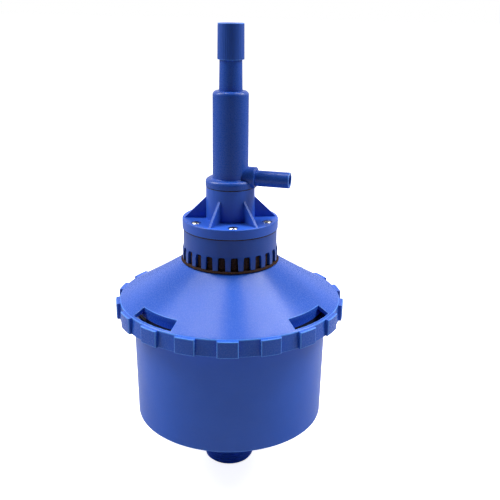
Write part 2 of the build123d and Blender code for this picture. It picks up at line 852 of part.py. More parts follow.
with BuildPart() as cover_screw:
    with BuildSketch(Plane.XZ) as screw_profile:
        with BuildLine():
            Polyline(
                (0, screw_seat_z - screw_length + 1),
                (screw_shank_r, screw_seat_z - screw_length + 1),
                (screw_shank_r, screw_seat_z),
                (screw_head_r, screw_seat_z),
                (screw_head_r, screw_seat_z + screw_head_height),
                (0, screw_seat_z + screw_head_height),
                close=True,
            )
        make_face()
        fillet(
            corner(screw_profile, screw_head_r, screw_seat_z + screw_head_height),
            screw_head_height * 0.6,
        )
    revolve(axis=Axis.Z)

with BuildPart() as cover_screws:
    with PolarLocations(screw_circle_r, screw_count, start_angle=screw_clocking):
        add(cover_screw.part)
save(cover_screws, "cover_screws")

# Gasket between the cover's boss and the tower's collar
tower_gasket = flat_ring(
    nose_hole_r, boss_top_r - tower_gasket_inset, boss_top_z, tower_gasket_thickness
)
save(tower_gasket, "tower_gasket")

# Spring tower: nose screwed into the boss, rounded collar, tube and the sensing port's boss
with BuildPart() as spring_tower:
    with BuildSketch(Plane.XZ) as tower_profile:
        with BuildLine():
            Polyline(
                (tower_bore_r, nose_bottom_z),
                (nose_r, nose_bottom_z),
                (nose_r, collar_bottom_z),
                (collar_r, collar_bottom_z),
                (collar_r, collar_top_z),
                (tower_base_r, collar_top_z),
                (tower_top_r, tower_top_z),
                (spindle_hole_r, tower_top_z),
                (spindle_hole_r, tower_bore_top_z),
                (tower_bore_r, tower_bore_top_z),
                close=True,
            )
        make_face()
        fillet(corner(tower_profile, collar_r, collar_top_z), collar_round)
        fillet(corner(tower_profile, tower_base_r, collar_top_z), tower_foot_round)
        fillet(corner(tower_profile, tower_top_r, tower_top_z), tower_shoulder_round)
    revolve(axis=Axis.Z)
    with BuildSketch(Plane.YZ.offset(port_boss_start_r)):
        with Locations((0, nipple_z)):
            Circle(port_boss_r)
    extrude(amount=port_boss_reach - port_boss_start_r)
    boss_end = spring_tower.faces().filter_by(Axis.X).sort_by(Axis.X)[-1]
    fillet(boss_end.edges(), port_boss_round)
    with BuildSketch(Plane.XY.offset(collar_bottom_z)):
        Circle(port_boss_reach + 1)
        Circle(nose_r, mode=Mode.SUBTRACT)
    extrude(amount=-port_boss_r, mode=Mode.SUBTRACT)
    with BuildSketch(Plane.YZ):
        with Locations((0, nipple_z)):
            Circle(nipple_bore_r)
    extrude(amount=port_boss_reach, mode=Mode.SUBTRACT)
    with BuildSketch(Plane.YZ.offset(nipple_socket_floor)):
        with Locations((0, nipple_z)):
            Circle(nipple_socket_r)
    extrude(amount=port_boss_reach - nipple_socket_floor, mode=Mode.SUBTRACT)
save(spring_tower, "spring_tower")

# Sensing nipple, a plain hose tube bonded into the port's boss
with BuildPart() as sensing_nipple:
    with BuildSketch(Plane.YZ.offset(nipple_tube_x)):
        with Locations((0, nipple_z)):
            Circle(nipple_r)
    extrude(amount=nipple_reach - nipple_tube_x)
    with BuildSketch(Plane.YZ.offset(nipple_socket_floor)):
        with Locations((0, nipple_z)):
            Circle(nipple_tenon_r)
    extrude(amount=nipple_tube_x - nipple_socket_floor)
    with BuildSketch(Plane.YZ.offset(nipple_socket_floor)):
        with Locations((0, nipple_z)):
            Circle(nipple_bore_r)
    extrude(amount=nipple_reach - nipple_socket_floor, mode=Mode.SUBTRACT)
    nipple_end = sensing_nipple.faces().filter_by(Axis.X).sort_by(Axis.X)[-1]
    fillet(nipple_end.edges(), nipple_edge_round)
save(sensing_nipple, "sensing_nipple")

# Regulating spring between the upper plate and the follower
coil_length = follower_bottom_z - spring_foot_z - 2 * spring_wire_r

with BuildPart() as regulating_spring:
    with BuildLine() as coil:
        Helix(
            pitch=coil_length / spring_turns,
            height=coil_length,
            radius=spring_r,
            center=(0, 0, spring_foot_z + spring_wire_r),
        )
    with BuildSketch(Plane(origin=coil.line @ 0, z_dir=coil.line % 0)):
        Circle(spring_wire_r)
    sweep(is_frenet=True)
save(regulating_spring, "regulating_spring")

# Spring follower: a piston with a ring groove, a spring spigot and a pocket for the ball
groove_floor_r = slide_r - follower_groove_depth

with BuildPart() as spring_follower:
    with BuildSketch(Plane.XZ) as follower_profile:
        with BuildLine():
            Polyline(
                (0, follower_bottom_z - follower_spigot_length),
                (follower_spigot_r, follower_bottom_z - follower_spigot_length),
                (follower_spigot_r, follower_bottom_z),
                (slide_r, follower_bottom_z),
                (slide_r, follower_groove_z - follower_groove_height / 2),
                (groove_floor_r, follower_groove_z - follower_groove_height / 2),
                (groove_floor_r, follower_groove_z + follower_groove_height / 2),
                (slide_r, follower_groove_z + follower_groove_height / 2),
                (slide_r, follower_top_z),
                (0, follower_top_z),
                close=True,
            )
        make_face()
        chamfer(
            corner(follower_profile, follower_spigot_r, follower_bottom_z - follower_spigot_length),
            follower_spigot_length / 5,
        )
    revolve(axis=Axis.Z)
    with Locations((0, 0, ball_z)):
        Sphere(ball_pocket_r, mode=Mode.SUBTRACT)
save(spring_follower, "spring_follower")

ring_section_r = (follower_groove_depth + running_gap / 2) / 2 - fit_gap / 2

with BuildPart() as follower_oring:
    with BuildSketch(Plane.XZ):
        with Locations((groove_floor_r + fit_gap / 2 + ring_section_r, follower_groove_z)):
            Circle(ring_section_r)
    revolve(axis=Axis.Z)
save(follower_oring, "follower_oring")

with BuildPart() as thrust_ball:
    with Locations((0, 0, ball_z)):
        Sphere(ball_r)
save(thrust_ball, "thrust_ball")

# Adjuster spindle: threaded collar in the tower's bore, drafted neck and the knob's shank
shank_top_z = knob_top_z - knob_cap

with BuildPart() as adjuster_spindle:
    with BuildSketch(Plane.XZ) as spindle_profile:
        with BuildLine():
            Polyline(
                (0, spindle_bottom_z),
                (slide_r, spindle_bottom_z),
                (slide_r, spindle_collar_z),
                (spindle_neck_base_r, spindle_collar_z),
                (spindle_neck_top_r, knob_bottom_z),
                (spindle_shank_r, knob_bottom_z),
                (spindle_shank_r, shank_top_z),
                (0, shank_top_z),
                close=True,
            )
        make_face()
        chamfer(corner(spindle_profile, spindle_shank_r, shank_top_z), spindle_shank_r / 8)
    revolve(axis=Axis.Z)
    with Locations((0, 0, ball_z)):
        Sphere(ball_pocket_r, mode=Mode.SUBTRACT)
save(adjuster_spindle, "adjuster_spindle")

# Adjuster knob, pressed on the spindle's shank
with BuildPart() as adjuster_knob:
    with BuildSketch(Plane.XZ) as knob_profile:
        with BuildLine():
            Polyline(
                (spindle_shank_r + fit_gap, knob_bottom_z),
                (knob_bottom_r, knob_bottom_z),
                (knob_top_r, knob_top_z),
                (0, knob_top_z),
                (0, shank_top_z + fit_gap),
                (spindle_shank_r + fit_gap, shank_top_z + fit_gap),
                close=True,
            )
        make_face()
        fillet(corner(knob_profile, knob_top_r, knob_top_z), knob_edge_round)
    revolve(axis=Axis.Z)
save(adjuster_knob, "adjuster_knob")
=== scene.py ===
import logging
import math
from dataclasses import dataclass, field
from enum import Enum

import bmesh
import bpy
from mathutils import Matrix, Vector, noise
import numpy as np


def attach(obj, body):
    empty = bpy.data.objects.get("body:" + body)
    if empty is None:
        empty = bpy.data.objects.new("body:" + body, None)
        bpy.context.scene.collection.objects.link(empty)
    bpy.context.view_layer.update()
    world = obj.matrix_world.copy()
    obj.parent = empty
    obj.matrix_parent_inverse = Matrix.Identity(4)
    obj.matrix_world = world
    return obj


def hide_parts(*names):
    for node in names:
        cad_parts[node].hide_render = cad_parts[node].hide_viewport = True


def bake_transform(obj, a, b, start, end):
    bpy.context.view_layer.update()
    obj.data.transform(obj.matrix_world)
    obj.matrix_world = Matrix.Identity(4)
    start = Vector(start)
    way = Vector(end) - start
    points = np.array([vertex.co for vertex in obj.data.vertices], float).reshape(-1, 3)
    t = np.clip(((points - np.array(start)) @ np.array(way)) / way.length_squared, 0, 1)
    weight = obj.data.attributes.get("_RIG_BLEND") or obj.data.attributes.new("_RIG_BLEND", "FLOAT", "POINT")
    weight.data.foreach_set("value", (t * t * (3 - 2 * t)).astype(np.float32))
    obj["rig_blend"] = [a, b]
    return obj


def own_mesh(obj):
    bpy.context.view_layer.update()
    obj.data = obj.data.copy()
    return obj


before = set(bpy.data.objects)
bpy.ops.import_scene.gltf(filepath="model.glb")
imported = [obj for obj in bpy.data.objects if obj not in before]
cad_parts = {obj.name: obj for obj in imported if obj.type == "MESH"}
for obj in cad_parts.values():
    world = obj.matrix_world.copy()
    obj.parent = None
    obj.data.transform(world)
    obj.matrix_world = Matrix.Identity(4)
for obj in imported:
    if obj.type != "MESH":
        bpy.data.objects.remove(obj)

# Looks of the vacuum regulating valve, in metres, in the frame of the CAD model.
# The valve's axis is +Z, the sensing nipple points along +X, and angles count from +X in degrees.

LOG = logging.getLogger("valve")
MM = 0.001
BROKEN_EDGE = "broken_edge"
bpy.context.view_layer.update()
Point = tuple[float, float]
Colour = tuple[float, float, float]


# Material building


class Pattern(Enum):
    """Which noise a surface effect is made from."""

    GRAIN = "grain"
    MOTTLE = "mottle"


class Recipe:
    """A material being put together node by node round one Principled shader."""

    def __init__(self, name: str) -> None:
        """Starts an empty material.

        Args:
            name: Name of the material.
        """
        self.material = bpy.data.materials.new(name)
        self.material.use_nodes = True
        self.tree = self.material.node_tree
        self.tree.nodes.clear()
        self.output = self.tree.nodes.new("ShaderNodeOutputMaterial")
        self.shader = self.tree.nodes.new("ShaderNodeBsdfPrincipled")
        self.link(self.shader.outputs["BSDF"], self.output.inputs["Surface"])
        self.place = self.node("ShaderNodeTexCoord").outputs["Object"]

    def node(self, kind: str, **settings) -> bpy.types.Node:
        """Adds a node and sets its properties.

        Args:
            kind: Blender's type name of the node.
            **settings: Properties to set on it.

        Returns:
            The new node.
        """
        made = self.tree.nodes.new(kind)
        for key, value in settings.items():
            setattr(made, key, value)
        return made

    def link(self, source: bpy.types.NodeSocket, target: bpy.types.NodeSocket) -> None:
        """Joins two sockets."""
        self.tree.links.new(source, target)

    def group(self, tree: bpy.types.NodeTree, **values: float) -> bpy.types.Node:
        """Places a shared effect that reads Object coordinates.

        Args:
            tree: The effect's node group.
            **values: Values of its named inputs, with _ for a space.

        Returns:
            The group node.
        """
        placed = self.node("ShaderNodeGroup", node_tree=tree)
        self.link(self.place, placed.inputs["Vector"])
        for key, value in values.items():
            placed.inputs[key.replace("_", " ")].default_value = value
        return placed

    def blend(self, mask: bpy.types.NodeSocket, low: Colour, high: Colour) -> bpy.types.NodeSocket:
        """Mixes two colours by a mask.

        Args:
            mask: Value from 0 to 1.
            low: Colour where the mask is 0.
            high: Colour where the mask is 1.

        Returns:
            The mixed colour's socket.
        """
        mix = self.node("ShaderNodeMix", data_type="RGBA")
        self.link(mask, mix.inputs["Factor"])
        mix.inputs["A"].default_value = (*low, 1)
        mix.inputs["B"].default_value = (*high, 1)
        return mix.outputs["Result"]

    def over(self, under: bpy.types.NodeSocket, mask: bpy.types.NodeSocket, top: Colour) -> bpy.types.NodeSocket:
        """Lays a colour over another by a mask.

        Args:
            under: Colour below.
            mask: Share of the upper colour, from 0 to 1.
            top: Upper colour.

        Returns:
            The mixed colour's socket.
        """
        mix = self.node("ShaderNodeMix", data_type="RGBA")
        self.link(mask, mix.inputs["Factor"])
        self.link(under, mix.inputs["A"])
        mix.inputs["B"].default_value = (*top, 1)
        return mix.outputs["Result"]

    def spread(self, value: bpy.types.NodeSocket, low: float, high: float) -> bpy.types.NodeSocket:
        """Maps a value from 0 to 1 onto another range.

        Args:
            value: Value to map.
            low: Result at 0.
            high: Result at 1.

        Returns:
            The mapped value's socket.
        """
        ranged = self.node("ShaderNodeMapRange")
        self.link(value, ranged.inputs["Value"])
        ranged.inputs["To Min"].default_value = low
        ranged.inputs["To Max"].default_value = high
        return ranged.outputs["Result"]

    def bump(self, height: bpy.types.NodeSocket, distance: float, strength: float = 1.0) -> None:
        """Feeds a height to the shader's normal.

        Args:
            height: Height from 0 to 1.
            distance: Real height in metres of a step of 1.
            strength: Share of the effect.
        """
        raised = self.node("ShaderNodeBump")
        raised.inputs["Distance"].default_value = distance
        raised.inputs["Strength"].default_value = strength
        self.link(height, raised.inputs["Height"])
        self.link(raised.outputs["Normal"], self.shader.inputs["Normal"])


class EffectGroup:
    """A shared effect as a shader node group with named inputs and outputs."""

    def __init__(self, name: str, inputs: dict[str, float], outputs: dict[str, str]) -> None:
        """Starts a group that takes a Vector and the given values.

        Args:
            name: Name of the node group.
            inputs: Names and defaults of its value inputs.
            outputs: Names of its outputs and their socket types.
        """
        self.tree = bpy.data.node_groups.new(name, "ShaderNodeTree")
        interface = self.tree.interface
        interface.new_socket("Vector", in_out="INPUT", socket_type="NodeSocketVector")
        for key, default in inputs.items():
            socket = interface.new_socket(key, in_out="INPUT", socket_type="NodeSocketFloat")
            socket.default_value = default
        for key, kind in outputs.items():
            interface.new_socket(key, in_out="OUTPUT", socket_type=kind)
        self.given = self.tree.nodes.new("NodeGroupInput")
        self.result = self.tree.nodes.new("NodeGroupOutput")

    def node(self, kind: str, **settings) -> bpy.types.Node:
        """Adds a node to the group and sets its properties."""
        made = self.tree.nodes.new(kind)
        for key, value in settings.items():
            setattr(made, key, value)
        return made

    def link(self, source: bpy.types.NodeSocket, target: bpy.types.NodeSocket) -> None:
        """Joins two sockets of the group."""
        self.tree.links.new(source, target)

    def maths(self, operation: str, *terms: bpy.types.NodeSocket | float) -> bpy.types.NodeSocket:
        """Adds a Math node.

        Args:
            operation: Blender's name of the operation.
            *terms: Sockets or plain numbers.

        Returns:
            The result's socket.
        """
        made = self.node("ShaderNodeMath", operation=operation)
        for socket, term in zip(made.inputs, terms):
            if isinstance(term, bpy.types.NodeSocket):
                self.link(term, socket)
            else:
                socket.default_value = term
        return made.outputs["Value"]


def grain_group() -> bpy.types.NodeTree:
    """Fine spark-eroded grain of an injection mould, with a slow unevenness under it.

    Returns:
        A group with the outputs Height, Speckle and Cloud, all from 0 to 1.
    """
    group = EffectGroup(
        "mould_grain",
        {"Grain Scale": 1800.0, "Cloud Scale": 35.0},
        {"Height": "NodeSocketFloat", "Speckle": "NodeSocketFloat", "Cloud": "NodeSocketFloat"},
    )
    fine = group.node("ShaderNodeTexNoise", noise_dimensions="3D")
    fine.inputs["Detail"].default_value = 2.0
    fine.inputs["Roughness"].default_value = 0.55
    group.link(group.given.outputs["Vector"], fine.inputs["Vector"])
    group.link(group.given.outputs["Grain Scale"], fine.inputs["Scale"])
    cells = group.node("ShaderNodeTexVoronoi", feature="SMOOTH_F1")
    cells.inputs["Smoothness"].default_value = 0.6
    group.link(group.given.outputs["Vector"], cells.inputs["Vector"])
    group.link(group.given.outputs["Grain Scale"], cells.inputs["Scale"])
    cloud = group.node("ShaderNodeTexNoise", noise_dimensions="3D")
    cloud.inputs["Detail"].default_value = 3.0
    group.link(group.given.outputs["Vector"], cloud.inputs["Vector"])
    group.link(group.given.outputs["Cloud Scale"], cloud.inputs["Scale"])
    height = group.maths("MULTIPLY_ADD", cells.outputs["Distance"], 0.5, fine.outputs["Fac"])
    speckle = group.node("ShaderNodeMapRange", interpolation_type="SMOOTHSTEP")
    group.link(fine.outputs["Fac"], speckle.inputs["Value"])
    speckle.inputs["From Min"].default_value = 0.42
    speckle.inputs["From Max"].default_value = 0.66
    group.link(height, group.result.inputs["Height"])
    group.link(speckle.outputs["Result"], group.result.inputs["Speckle"])
    group.link(cloud.outputs["Fac"], group.result.inputs["Cloud"])
    return group.tree


def scuff_group() -> bpy.types.NodeTree:
    """Faint handling marks: short hairlines that run round the part, and dust specks.

    Returns:
        A group with the outputs Scuff and Dust, both masks from 0 to 1.
    """
    group = EffectGroup(
        "handling_marks",
        {"Line Scale": 90.0, "Dust Scale": 260.0},
        {"Scuff": "NodeSocketFloat", "Dust": "NodeSocketFloat"},
    )
    squash = group.node("ShaderNodeMapping")
    squash.inputs["Scale"].default_value = (0.12, 0.12, 1.0)
    group.link(group.given.outputs["Vector"], squash.inputs["Vector"])
    lines = group.node("ShaderNodeTexNoise", noise_dimensions="3D")
    lines.inputs["Detail"].default_value = 4.0
    lines.inputs["Roughness"].default_value = 0.7
    group.link(squash.outputs["Vector"], lines.inputs["Vector"])
    group.link(group.given.outputs["Line Scale"], lines.inputs["Scale"])
    thin = group.maths("ABSOLUTE", group.maths("SUBTRACT", lines.outputs["Fac"], 0.5))
    hairline = group.node("ShaderNodeMapRange", interpolation_type="SMOOTHSTEP")
    group.link(thin, hairline.inputs["Value"])
    hairline.inputs["From Min"].default_value = 0.012
    hairline.inputs["From Max"].default_value = 0.0
    specks = group.node("ShaderNodeTexVoronoi", feature="F1")
    group.link(group.given.outputs["Vector"], specks.inputs["Vector"])
    group.link(group.given.outputs["Dust Scale"], specks.inputs["Scale"])
    dust = group.node("ShaderNodeMapRange", interpolation_type="SMOOTHSTEP")
    group.link(specks.outputs["Distance"], dust.inputs["Value"])
    dust.inputs["From Min"].default_value = 0.09
    dust.inputs["From Max"].default_value = 0.03
    group.link(hairline.outputs["Result"], group.result.inputs["Scuff"])
    group.link(dust.outputs["Result"], group.result.inputs["Dust"])
    return group.tree


@dataclass
class EffectShelf:
    """The shared effects, each built once."""

    grain: bpy.types.NodeTree = field(default_factory=grain_group)
    scuff: bpy.types.NodeTree = field(default_factory=scuff_group)


@dataclass(frozen=True)
class MouldedPlastic:
    """Injection-moulded blue plastic with a fine grain, its rounded edges lightened as partly edge wear and partly
    painted highlight.
    """

    name: str
    colour: Colour = (0.036, 0.145, 0.740)
    deep: Colour = (0.030, 0.125, 0.650)
    # edge: lighter blue laid on rounded edges, partly whitened wear and partly painted highlight
    edge: Colour = (0.110, 0.330, 1.000)
    roughness: float = 0.36
    grain: float = 1800.0
    relief: float = 0.00003
    shine: float = 0.36

    def material(self, shelf: EffectShelf) -> bpy.types.Material:
        """Builds the finish.

        Args:
            shelf: The shared effects.

        Returns:
            The finished material.
        """
        recipe = Recipe(self.name)
        grain = recipe.group(shelf.grain, Grain_Scale=self.grain)
        marks = recipe.group(shelf.scuff)
        tint = recipe.blend(grain.outputs["Cloud"], self.deep, self.colour)
        marked = recipe.over(tint, recipe.spread(marks.outputs["Scuff"], 0.0, 0.012), (0.35, 0.48, 0.85))
        broken = recipe.node("ShaderNodeAttribute", attribute_name=BROKEN_EDGE)
        # Rounded edges are lightened towards the edge colour: partly edge wear, partly painted highlight.
        worn_and_highlit = recipe.over(marked, recipe.spread(broken.outputs["Fac"], 0.0, 0.85), self.edge)
        recipe.link(worn_and_highlit, recipe.shader.inputs["Base Color"])
        rough = recipe.spread(grain.outputs["Speckle"], self.roughness - 0.05, self.roughness + 0.07)
        recipe.link(rough, recipe.shader.inputs["Roughness"])
        recipe.shader.inputs["IOR"].default_value = 1.49
        recipe.shader.inputs["Specular IOR Level"].default_value = self.shine
        recipe.bump(grain.outputs["Height"], self.relief)
        return recipe.material


@dataclass(frozen=True)
class OpenFoam:
    """Dark brown open-cell filter foam."""

    name: str
    colour: Colour = (0.085, 0.042, 0.030)
    # Darker colour at the middle of each foam cell: painted shade in the cell hollows.
    pore_shade: Colour = (0.022, 0.011, 0.008)
    cell: float = 900.0

    def material(self, shelf: EffectShelf) -> bpy.types.Material:
        """Builds the finish.

        Args:
            shelf: The shared effects.

        Returns:
            The finished material.
        """
        recipe = Recipe(self.name)
        cells = recipe.node("ShaderNodeTexVoronoi", feature="F1")
        recipe.link(recipe.place, cells.inputs["Vector"])
        cells.inputs["Scale"].default_value = self.cell
        grain = recipe.group(shelf.grain, Grain_Scale=self.cell * 1.7, Cloud_Scale=120.0)
        # Cell middles are darkened towards the darker colour as painted shade, while the same distance sinks them as
        # pits.
        recipe.link(recipe.blend(cells.outputs["Distance"], self.pore_shade, self.colour),
                    recipe.shader.inputs["Base Color"])
        recipe.link(recipe.spread(grain.outputs["Speckle"], 0.85, 1.0), recipe.shader.inputs["Roughness"])
        recipe.shader.inputs["Specular IOR Level"].default_value = 0.15
        recipe.bump(cells.outputs["Distance"], 0.0006)
        return recipe.material


@dataclass(frozen=True)
class Rubber:
    """Black moulded rubber, slightly dusty, its black deepened as painted shade of the seams it sits in."""

    name: str
    # colour: darker than the rubber's own black, as painted shade for the shadowed gaps between parts
    colour: Colour = (0.004, 0.004, 0.005)
    bloom: Colour = (0.010, 0.010, 0.012)

    def material(self, shelf: EffectShelf) -> bpy.types.Material:
        """Builds the finish.

        Args:
            shelf: The shared effects.

        Returns:
            The finished material.
        """
        recipe = Recipe(self.name)
        grain = recipe.group(shelf.grain, Grain_Scale=1400.0, Cloud_Scale=70.0)
        recipe.link(recipe.blend(grain.outputs["Cloud"], self.colour, self.bloom),
                    recipe.shader.inputs["Base Color"])
        recipe.link(recipe.spread(grain.outputs["Speckle"], 0.5, 0.7), recipe.shader.inputs["Roughness"])
        recipe.bump(grain.outputs["Height"], 0.00003)
        return recipe.material


@dataclass(frozen=True)
class Metal:
    """Plated or drawn steel with fine turning or drawing lines."""

    name: str
    colour: Colour = (0.60, 0.59, 0.57)
    dull: Colour = (0.42, 0.41, 0.40)
    roughness: float = 0.24

    def material(self, shelf: EffectShelf) -> bpy.types.Material:
        """Builds the finish.

        Args:
            shelf: The shared effects.

        Returns:
            The finished material.
        """
        recipe = Recipe(self.name)
        grain = recipe.group(shelf.grain, Grain_Scale=900.0, Cloud_Scale=160.0)
        marks = recipe.group(shelf.scuff, Line_Scale=700.0)
        recipe.link(recipe.blend(grain.outputs["Cloud"], self.dull, self.colour),
                    recipe.shader.inputs["Base Color"])
        recipe.link(recipe.spread(marks.outputs["Scuff"], self.roughness, self.roughness + 0.2),
                    recipe.shader.inputs["Roughness"])
        recipe.shader.inputs["Metallic"].default_value = 1.0
        recipe.bump(marks.outputs["Scuff"], 0.00001)
        return recipe.material


@dataclass(frozen=True)
class PalePlastic:
    """Machined white acetal with faint cutter lines."""

    name: str
    colour: Colour = (0.78, 0.77, 0.73)
    shade: Colour = (0.66, 0.65, 0.61)

    def material(self, shelf: EffectShelf) -> bpy.types.Material:
        """Builds the finish.

        Args:
            shelf: The shared effects.

        Returns:
            The finished material.
        """
        recipe = Recipe(self.name)
        grain = recipe.group(shelf.grain, Grain_Scale=700.0, Cloud_Scale=60.0)
        rings = recipe.node("ShaderNodeTexWave", wave_type="RINGS", rings_direction="Z")
        recipe.link(recipe.place, rings.inputs["Vector"])
        rings.inputs["Scale"].default_value = 900.0
        recipe.link(recipe.blend(grain.outputs["Cloud"], self.shade, self.colour),
                    recipe.shader.inputs["Base Color"])
        recipe.link(recipe.spread(grain.outputs["Speckle"], 0.32, 0.42), recipe.shader.inputs["Roughness"])
        recipe.bump(rings.outputs["Fac"], 0.00001)
        return recipe.material


# Studio


@dataclass
class Studio:
    """Pale floor, soft light and the camera at the photograph's angle."""

    shelf: EffectShelf
    distance: float = 0.597066
    height: float = 0.393317
    nipple_turn: float = 16.45
    pitch: float = 18.564
    yaw: float = 1.576
    roll: float = 0.727
    focal_px: float = 761.37
    frame_px: float = 500.0
    sensor: float = 36.0
    floor_bounce: Colour = (0.50, 0.50, 0.50)
    floor_lift: float = 0.86
    wall_light: float = 0.80
    front_light: float = 0.04
    zenith_share: float = 0.16

    def toward_camera(self) -> Vector:
        """Level direction from the axis to the camera."""
        turn = math.radians(self.nipple_turn)
        return Vector((math.sin(turn), -math.cos(turn), 0))

    def build(self) -> None:
        """Makes the camera, the floor, the world and the lights."""
        self.make_camera()
        self.make_floor()
        self.make_world()
        self.make_lights()

    def make_camera(self) -> None:
        """Places the camera that was fitted to the photograph."""
        lens = bpy.data.cameras.new("camera")
        lens.sensor_width = self.sensor
        lens.lens = self.focal_px / self.frame_px * self.sensor
        camera = bpy.data.objects.new("camera", lens)
        bpy.context.scene.collection.objects.link(camera)
        turn = (
            Matrix.Rotation(math.radians(self.nipple_turn - self.yaw), 4, "Z")
            @ Matrix.Rotation(math.radians(90 - self.pitch), 4, "X")
            @ Matrix.Rotation(math.radians(self.roll), 4, "Z")
        )
        where = self.toward_camera() * self.distance + Vector((0, 0, self.height))
        camera.matrix_world = Matrix.Translation(where) @ turn
        bpy.context.scene.camera = camera

    def make_floor(self) -> None:
        """Lays a large white floor that stays white to the horizon."""
        bm = bmesh.new()
        bmesh.ops.create_grid(bm, x_segments=8, y_segments=8, size=12.0)
        mesh = bpy.data.meshes.new("floor")
        bm.to_mesh(mesh)
        bm.free()
        floor = bpy.data.objects.new("floor", mesh)
        bpy.context.scene.collection.objects.link(floor)
        recipe = Recipe("white_sweep")
        soft = recipe.group(self.shelf.grain, Grain_Scale=40.0, Cloud_Scale=3.0)
        pale = recipe.blend(soft.outputs["Cloud"], (0.80, 0.80, 0.80), (0.84, 0.84, 0.84))
        seen = recipe.node("ShaderNodeLightPath")
        dimmed = recipe.node("ShaderNodeMix", data_type="RGBA")
        recipe.link(seen.outputs["Is Camera Ray"], dimmed.inputs["Factor"])
        dimmed.inputs["A"].default_value = (*self.floor_bounce, 1)
        recipe.link(pale, dimmed.inputs["B"])
        recipe.link(dimmed.outputs["Result"], recipe.shader.inputs["Base Color"])
        recipe.shader.inputs["Roughness"].default_value = 0.9
        recipe.shader.inputs["Specular IOR Level"].default_value = 0.0
        recipe.shader.inputs["Emission Color"].default_value = (1, 1, 1, 1)
        lift = recipe.spread(seen.outputs["Is Camera Ray"], 0.0, self.floor_lift)
        recipe.link(lift, recipe.shader.inputs["Emission Strength"])
        mesh.materials.append(recipe.material)

    def make_world(self) -> None:
        """Surrounds the set with white walls that fall off to a dark room behind the camera."""
        world = bpy.data.worlds.new("white_room")
        world.use_nodes = True
        tree = world.node_tree
        tree.nodes.clear()
        output = tree.nodes.new("ShaderNodeOutputWorld")
        back = tree.nodes.new("ShaderNodeBackground")
        place = tree.nodes.new("ShaderNodeTexCoord")
        facing = tree.nodes.new("ShaderNodeVectorMath")
        facing.operation = "DOT_PRODUCT"
        facing.inputs[1].default_value = self.toward_camera()
        tree.links.new(place.outputs["Generated"], facing.inputs[0])
        fall = self.ranged(tree, facing.outputs["Value"], (-0.2, 0.55), (self.wall_light, self.front_light))
        up = tree.nodes.new("ShaderNodeSeparateXYZ")
        tree.links.new(place.outputs["Generated"], up.inputs["Vector"])
        roof = self.ranged(tree, up.outputs["Z"], (0.35, 0.9), (1.0, self.zenith_share))
        room = tree.nodes.new("ShaderNodeMath")
        room.operation = "MULTIPLY"
        tree.links.new(fall, room.inputs[0])
        tree.links.new(roof, room.inputs[1])
        seen = tree.nodes.new("ShaderNodeLightPath")
        mix = tree.nodes.new("ShaderNodeMix")
        mix.inputs["B"].default_value = 1.0
        tree.links.new(seen.outputs["Is Camera Ray"], mix.inputs["Factor"])
        tree.links.new(room.outputs["Value"], mix.inputs["A"])
        tree.links.new(mix.outputs["Result"], back.inputs["Strength"])
        back.inputs["Color"].default_value = (1, 1, 1, 1)
        tree.links.new(back.outputs["Background"], output.inputs["Surface"])
        bpy.context.scene.world = world
        bpy.context.scene.view_settings.view_transform = "Standard"

    def ranged(self, tree: bpy.types.NodeTree, value: bpy.types.NodeSocket,
               span: tuple[float, float], result: tuple[float, float]) -> bpy.types.NodeSocket:
        """Maps a span of a value smoothly onto a range.

        Args:
            tree: Node tree to add to.
            value: Value to map.
            span: Lowest and highest value.
            result: What they map to.

        Returns:
            The mapped value's socket.
        """
        node = tree.nodes.new("ShaderNodeMapRange")
        node.interpolation_type = "SMOOTHSTEP"
        node.inputs["From Min"].default_value, node.inputs["From Max"].default_value = span
        node.inputs["To Min"].default_value, node.inputs["To Max"].default_value = result
        tree.links.new(value, node.inputs["Value"])
        return node.outputs["Result"]

    def make_lights(self) -> None:
        """Hangs two narrow boxes over and behind the valve, and a broad panel on each side."""
        self.soft_box("soft_box_left", across=-0.42, along=0.33, up=1.75, size=(0.12, 0.70), power=9.0)
        self.soft_box("soft_box_right", across=0.56, along=0.38, up=1.75, size=(0.12, 0.70), power=9.0)
        self.soft_box("side_panel_left", across=-1.05, along=0.15, up=1.25, size=(0.60, 0.70), power=15.0)
        self.soft_box("side_panel_right", across=1.05, along=0.15, up=1.25, size=(0.60, 0.70), power=15.0)

    def soft_box(self, name: str, across: float, along: float, up: float,
                 size: tuple[float, float], power: float) -> None:
        """Hangs one soft box that points at the lid.

        Args:
            name: Name of the light.
            across: Distance to the right of the axis, seen from the camera.
            along: Distance behind the axis, away from the camera.
            up: Height over the floor.
            size: Width and depth.
            power: Power in watts.
        """
        light = bpy.data.lights.new(name, "AREA")
        light.shape = "RECTANGLE"
        light.size, light.size_y = size
        light.energy = power
        hung = bpy.data.objects.new(name, light)
        bpy.context.scene.collection.objects.link(hung)
        front = self.toward_camera()
        right = Vector((-front.y, front.x, 0))
        where = right * across - front * along + Vector((0, 0, up))
        aim = Vector((0, 0, 0.17)) - where
        hung.matrix_world = Matrix.Translation(where) @ aim.to_track_quat("-Z", "Y").to_matrix().to_4x4()


# Mesh building, in millimetres until a piece is finished


def polar(radius: float, degrees: float, height: float = 0.0) -> Vector:
    """A point at a radius and an angle round the valve's axis."""
    turn = math.radians(degrees)
    return Vector((radius * math.cos(turn), radius * math.sin(turn), height))


def blank() -> bmesh.types.BMesh:
    """An empty mesh with a face value that marks broken edges."""
    bm = bmesh.new()
    bm.faces.layers.float.new(BROKEN_EDGE)
    return bm


